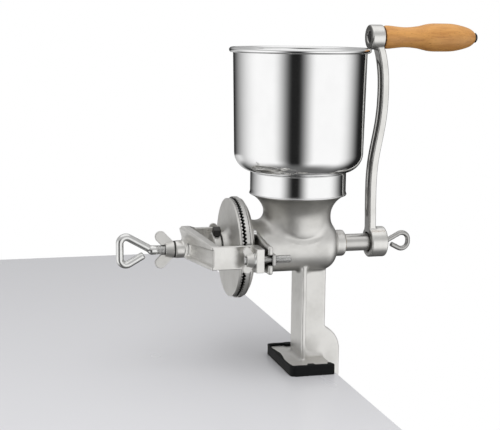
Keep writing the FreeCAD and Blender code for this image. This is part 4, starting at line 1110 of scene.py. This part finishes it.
class MILL_OT_stage(bpy.types.Operator):
    """Camera, pale table top and soft studio light"""
    bl_idname = "mill.stage"
    bl_label = "Stage"

    def execute(self, context):
        look = context.scene.mill.stage
        context.scene.view_settings.view_transform = "Standard"
        self.camera(context, look)
        self.table(look)
        self.lamp(look)
        self.studio(context, look)
        return {"FINISHED"}

    def camera(self, context, look):
        place = Vector(look.camera_place)
        back = (place - Vector(look.camera_target)).normalized()
        right = Vector((0, 0, 1)).cross(back).normalized()
        up = back.cross(right)
        turn = look.camera_roll
        right, up = right * cos(turn) + up * sin(turn), up * cos(turn) - right * sin(turn)
        camera = bpy.data.objects.new("camera", bpy.data.cameras.new("camera"))
        camera.data.lens = look.camera_lens
        camera.data.sensor_width = 36.0
        camera.matrix_world = Matrix((right, up, back)).transposed().to_4x4()
        camera.location = place
        context.scene.collection.objects.link(camera)
        context.scene.camera = camera

    def table(self, look):
        """A table top whose edge lies between the boot and the bracket."""
        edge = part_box("foot_boot")[1].x + look.table_gap
        bm = bmesh.new()
        bmesh.ops.create_cube(bm, size=1.0)
        size = (look.table_left + edge, look.table_front + look.table_rear, look.table_thickness)
        middle = (edge - size[0] / 2, (look.table_rear - look.table_front) / 2, -size[2] / 2)
        bmesh.ops.scale(bm, vec=size, verts=bm.verts)
        bmesh.ops.translate(bm, vec=middle, verts=bm.verts)
        bmesh.ops.bevel(bm, geom=bm.edges[:], offset=0.8 * MM, segments=3, profile=0.5, affect="EDGES")
        top = link("table_top", made_mesh(bm, "table_top"))
        top.data.materials.append(material(table_top))
        top.visible_glossy = False

    def lamp(self, look):
        """A wide soft lamp above and in front. It isn't mirrored in the metal."""
        light = bpy.data.lights.new("soft_lamp", "AREA")
        light.shape = "DISK"
        light.size = 1.1
        light.energy = look.lamp_power
        lamp = bpy.data.objects.new("soft_lamp", light)
        lamp.location = (-0.35, -0.55, 1.25)
        lamp.rotation_euler = (Vector((0, 0, 0.1)) - lamp.location).to_track_quat("-Z", "Y").to_euler()
        lamp.visible_glossy = False
        bpy.context.scene.collection.objects.link(lamp)

    def studio(self, context, look):
        """Softboxes and dark screens round the mill, as bands of the world; plain white behind it."""
        world = bpy.data.worlds.new("studio")
        world.use_nodes = True
        context.scene.world = world
        finish = Finish(world.node_tree)
        direction = finish.node("ShaderNodeTexCoord", output="Generated")
        x, y, z = finish.axes(direction)
        away = (Vector(look.camera_place) - Vector(look.camera_target)).to_2d().normalized()
        towards = x * away.x + y * away.y
        rightwards = x * -away.y + y * away.x
        turn = finish.maths("ARCTAN2", rightwards, towards) * degrees(1)
        # Degrees to the right of the camera, as the mill sees it, and the sine of the height.
        left_box = finish.step(turn, -165, -78) * finish.step(turn, -14, -50)
        right_box = finish.step(turn, -4, 28) * finish.step(turn, 128, 74)
        floor = finish.step(turn, -112, -140) * finish.step(z, -0.13, -0.19) * finish.step(z, -0.5, -0.3)
        wall = finish.step(z, 0.05, 0.35)
        behind = finish.step(finish.maths("ABSOLUTE", turn), 100, 140)
        overhead = finish.step(z, 0.66, 0.86)
        ground = finish.step(z, -0.5, -0.95)
        level = left_box + right_box + floor * look.floor_light + look.gap_light
        wall_level = (1 - behind) * look.wall_light + behind * look.backdrop
        level = level * (1 - wall) + wall * wall_level
        level = level * (1 - overhead) + overhead * look.overhead
        light = level * (1 - ground) + ground * look.ground
        seen = finish.node("ShaderNodeLightPath", output="Is Camera Ray")
        sky = finish.node("ShaderNodeBackground", values={"Color": light, "Strength": 1.07})
        paper = finish.node("ShaderNodeBackground", values={"Color": (1.0, 1.0, 1.0, 1.0), "Strength": 1.0})
        shown = finish.node("ShaderNodeMixShader", values={0: seen, 1: sky, 2: paper})
        finish.node("ShaderNodeOutputWorld", values={"Surface": shown})


class MillSettings(bpy.types.PropertyGroup):
    """Everything that the mill's operators read"""
    castings: PointerProperty(type=MillCastingSettings)
    threads: PointerProperty(type=MillThreadSettings)
    discs: PointerProperty(type=MillDiscSettings)
    hopper: PointerProperty(type=MillHopperSettings)
    boot: PointerProperty(type=MillBootSettings)
    grip: PointerProperty(type=MillGripSettings)
    stage: PointerProperty(type=MillStageSettings)


class MILL_PT_panel(bpy.types.Panel):
    """Sizes, colours and steps of the mill"""
    bl_label = "Grain Mill"
    bl_idname = "MILL_PT_panel"
    bl_space_type = "VIEW_3D"
    bl_region_type = "UI"
    bl_category = "Mill"

    def draw(self, context):
        for name in MillSettings.__annotations__:
            box = self.layout.box()
            box.label(text=name.capitalize())
            group = getattr(context.scene.mill, name)
            for size in type(group).__annotations__:
                box.prop(group, size)
        for operator in OPERATORS:
            self.layout.operator(operator.bl_idname)


GROUPS = (MillCastingSettings, MillThreadSettings, MillDiscSettings, MillHopperSettings, MillBootSettings,
          MillGripSettings, MillStageSettings, MillSettings)
OPERATORS = (MILL_OT_stage, MILL_OT_castings, MILL_OT_wing_nuts, MILL_OT_screws, MILL_OT_discs,
             MILL_OT_hopper, MILL_OT_boot, MILL_OT_grip, MILL_OT_square_pieces, MILL_OT_fittings)


def register():
    for kind in (*GROUPS, *OPERATORS, MILL_PT_panel):
        bpy.utils.register_class(kind)
    bpy.types.Scene.mill = PointerProperty(type=MillSettings)


def unregister():
    del bpy.types.Scene.mill
    for kind in reversed((*GROUPS, *OPERATORS, MILL_PT_panel)):
        bpy.utils.unregister_class(kind)


def main():
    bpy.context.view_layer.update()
    register()
    bpy.ops.mill.stage()
    bpy.ops.mill.castings()
    bpy.ops.mill.wing_nuts()
    bpy.ops.mill.screws()
    bpy.ops.mill.discs()
    bpy.ops.mill.hopper()
    bpy.ops.mill.boot()
    bpy.ops.mill.grip()
    bpy.ops.mill.square_pieces()
    bpy.ops.mill.fittings()
    bpy.context.view_layer.update()


if __name__ == "__main__":
    main()
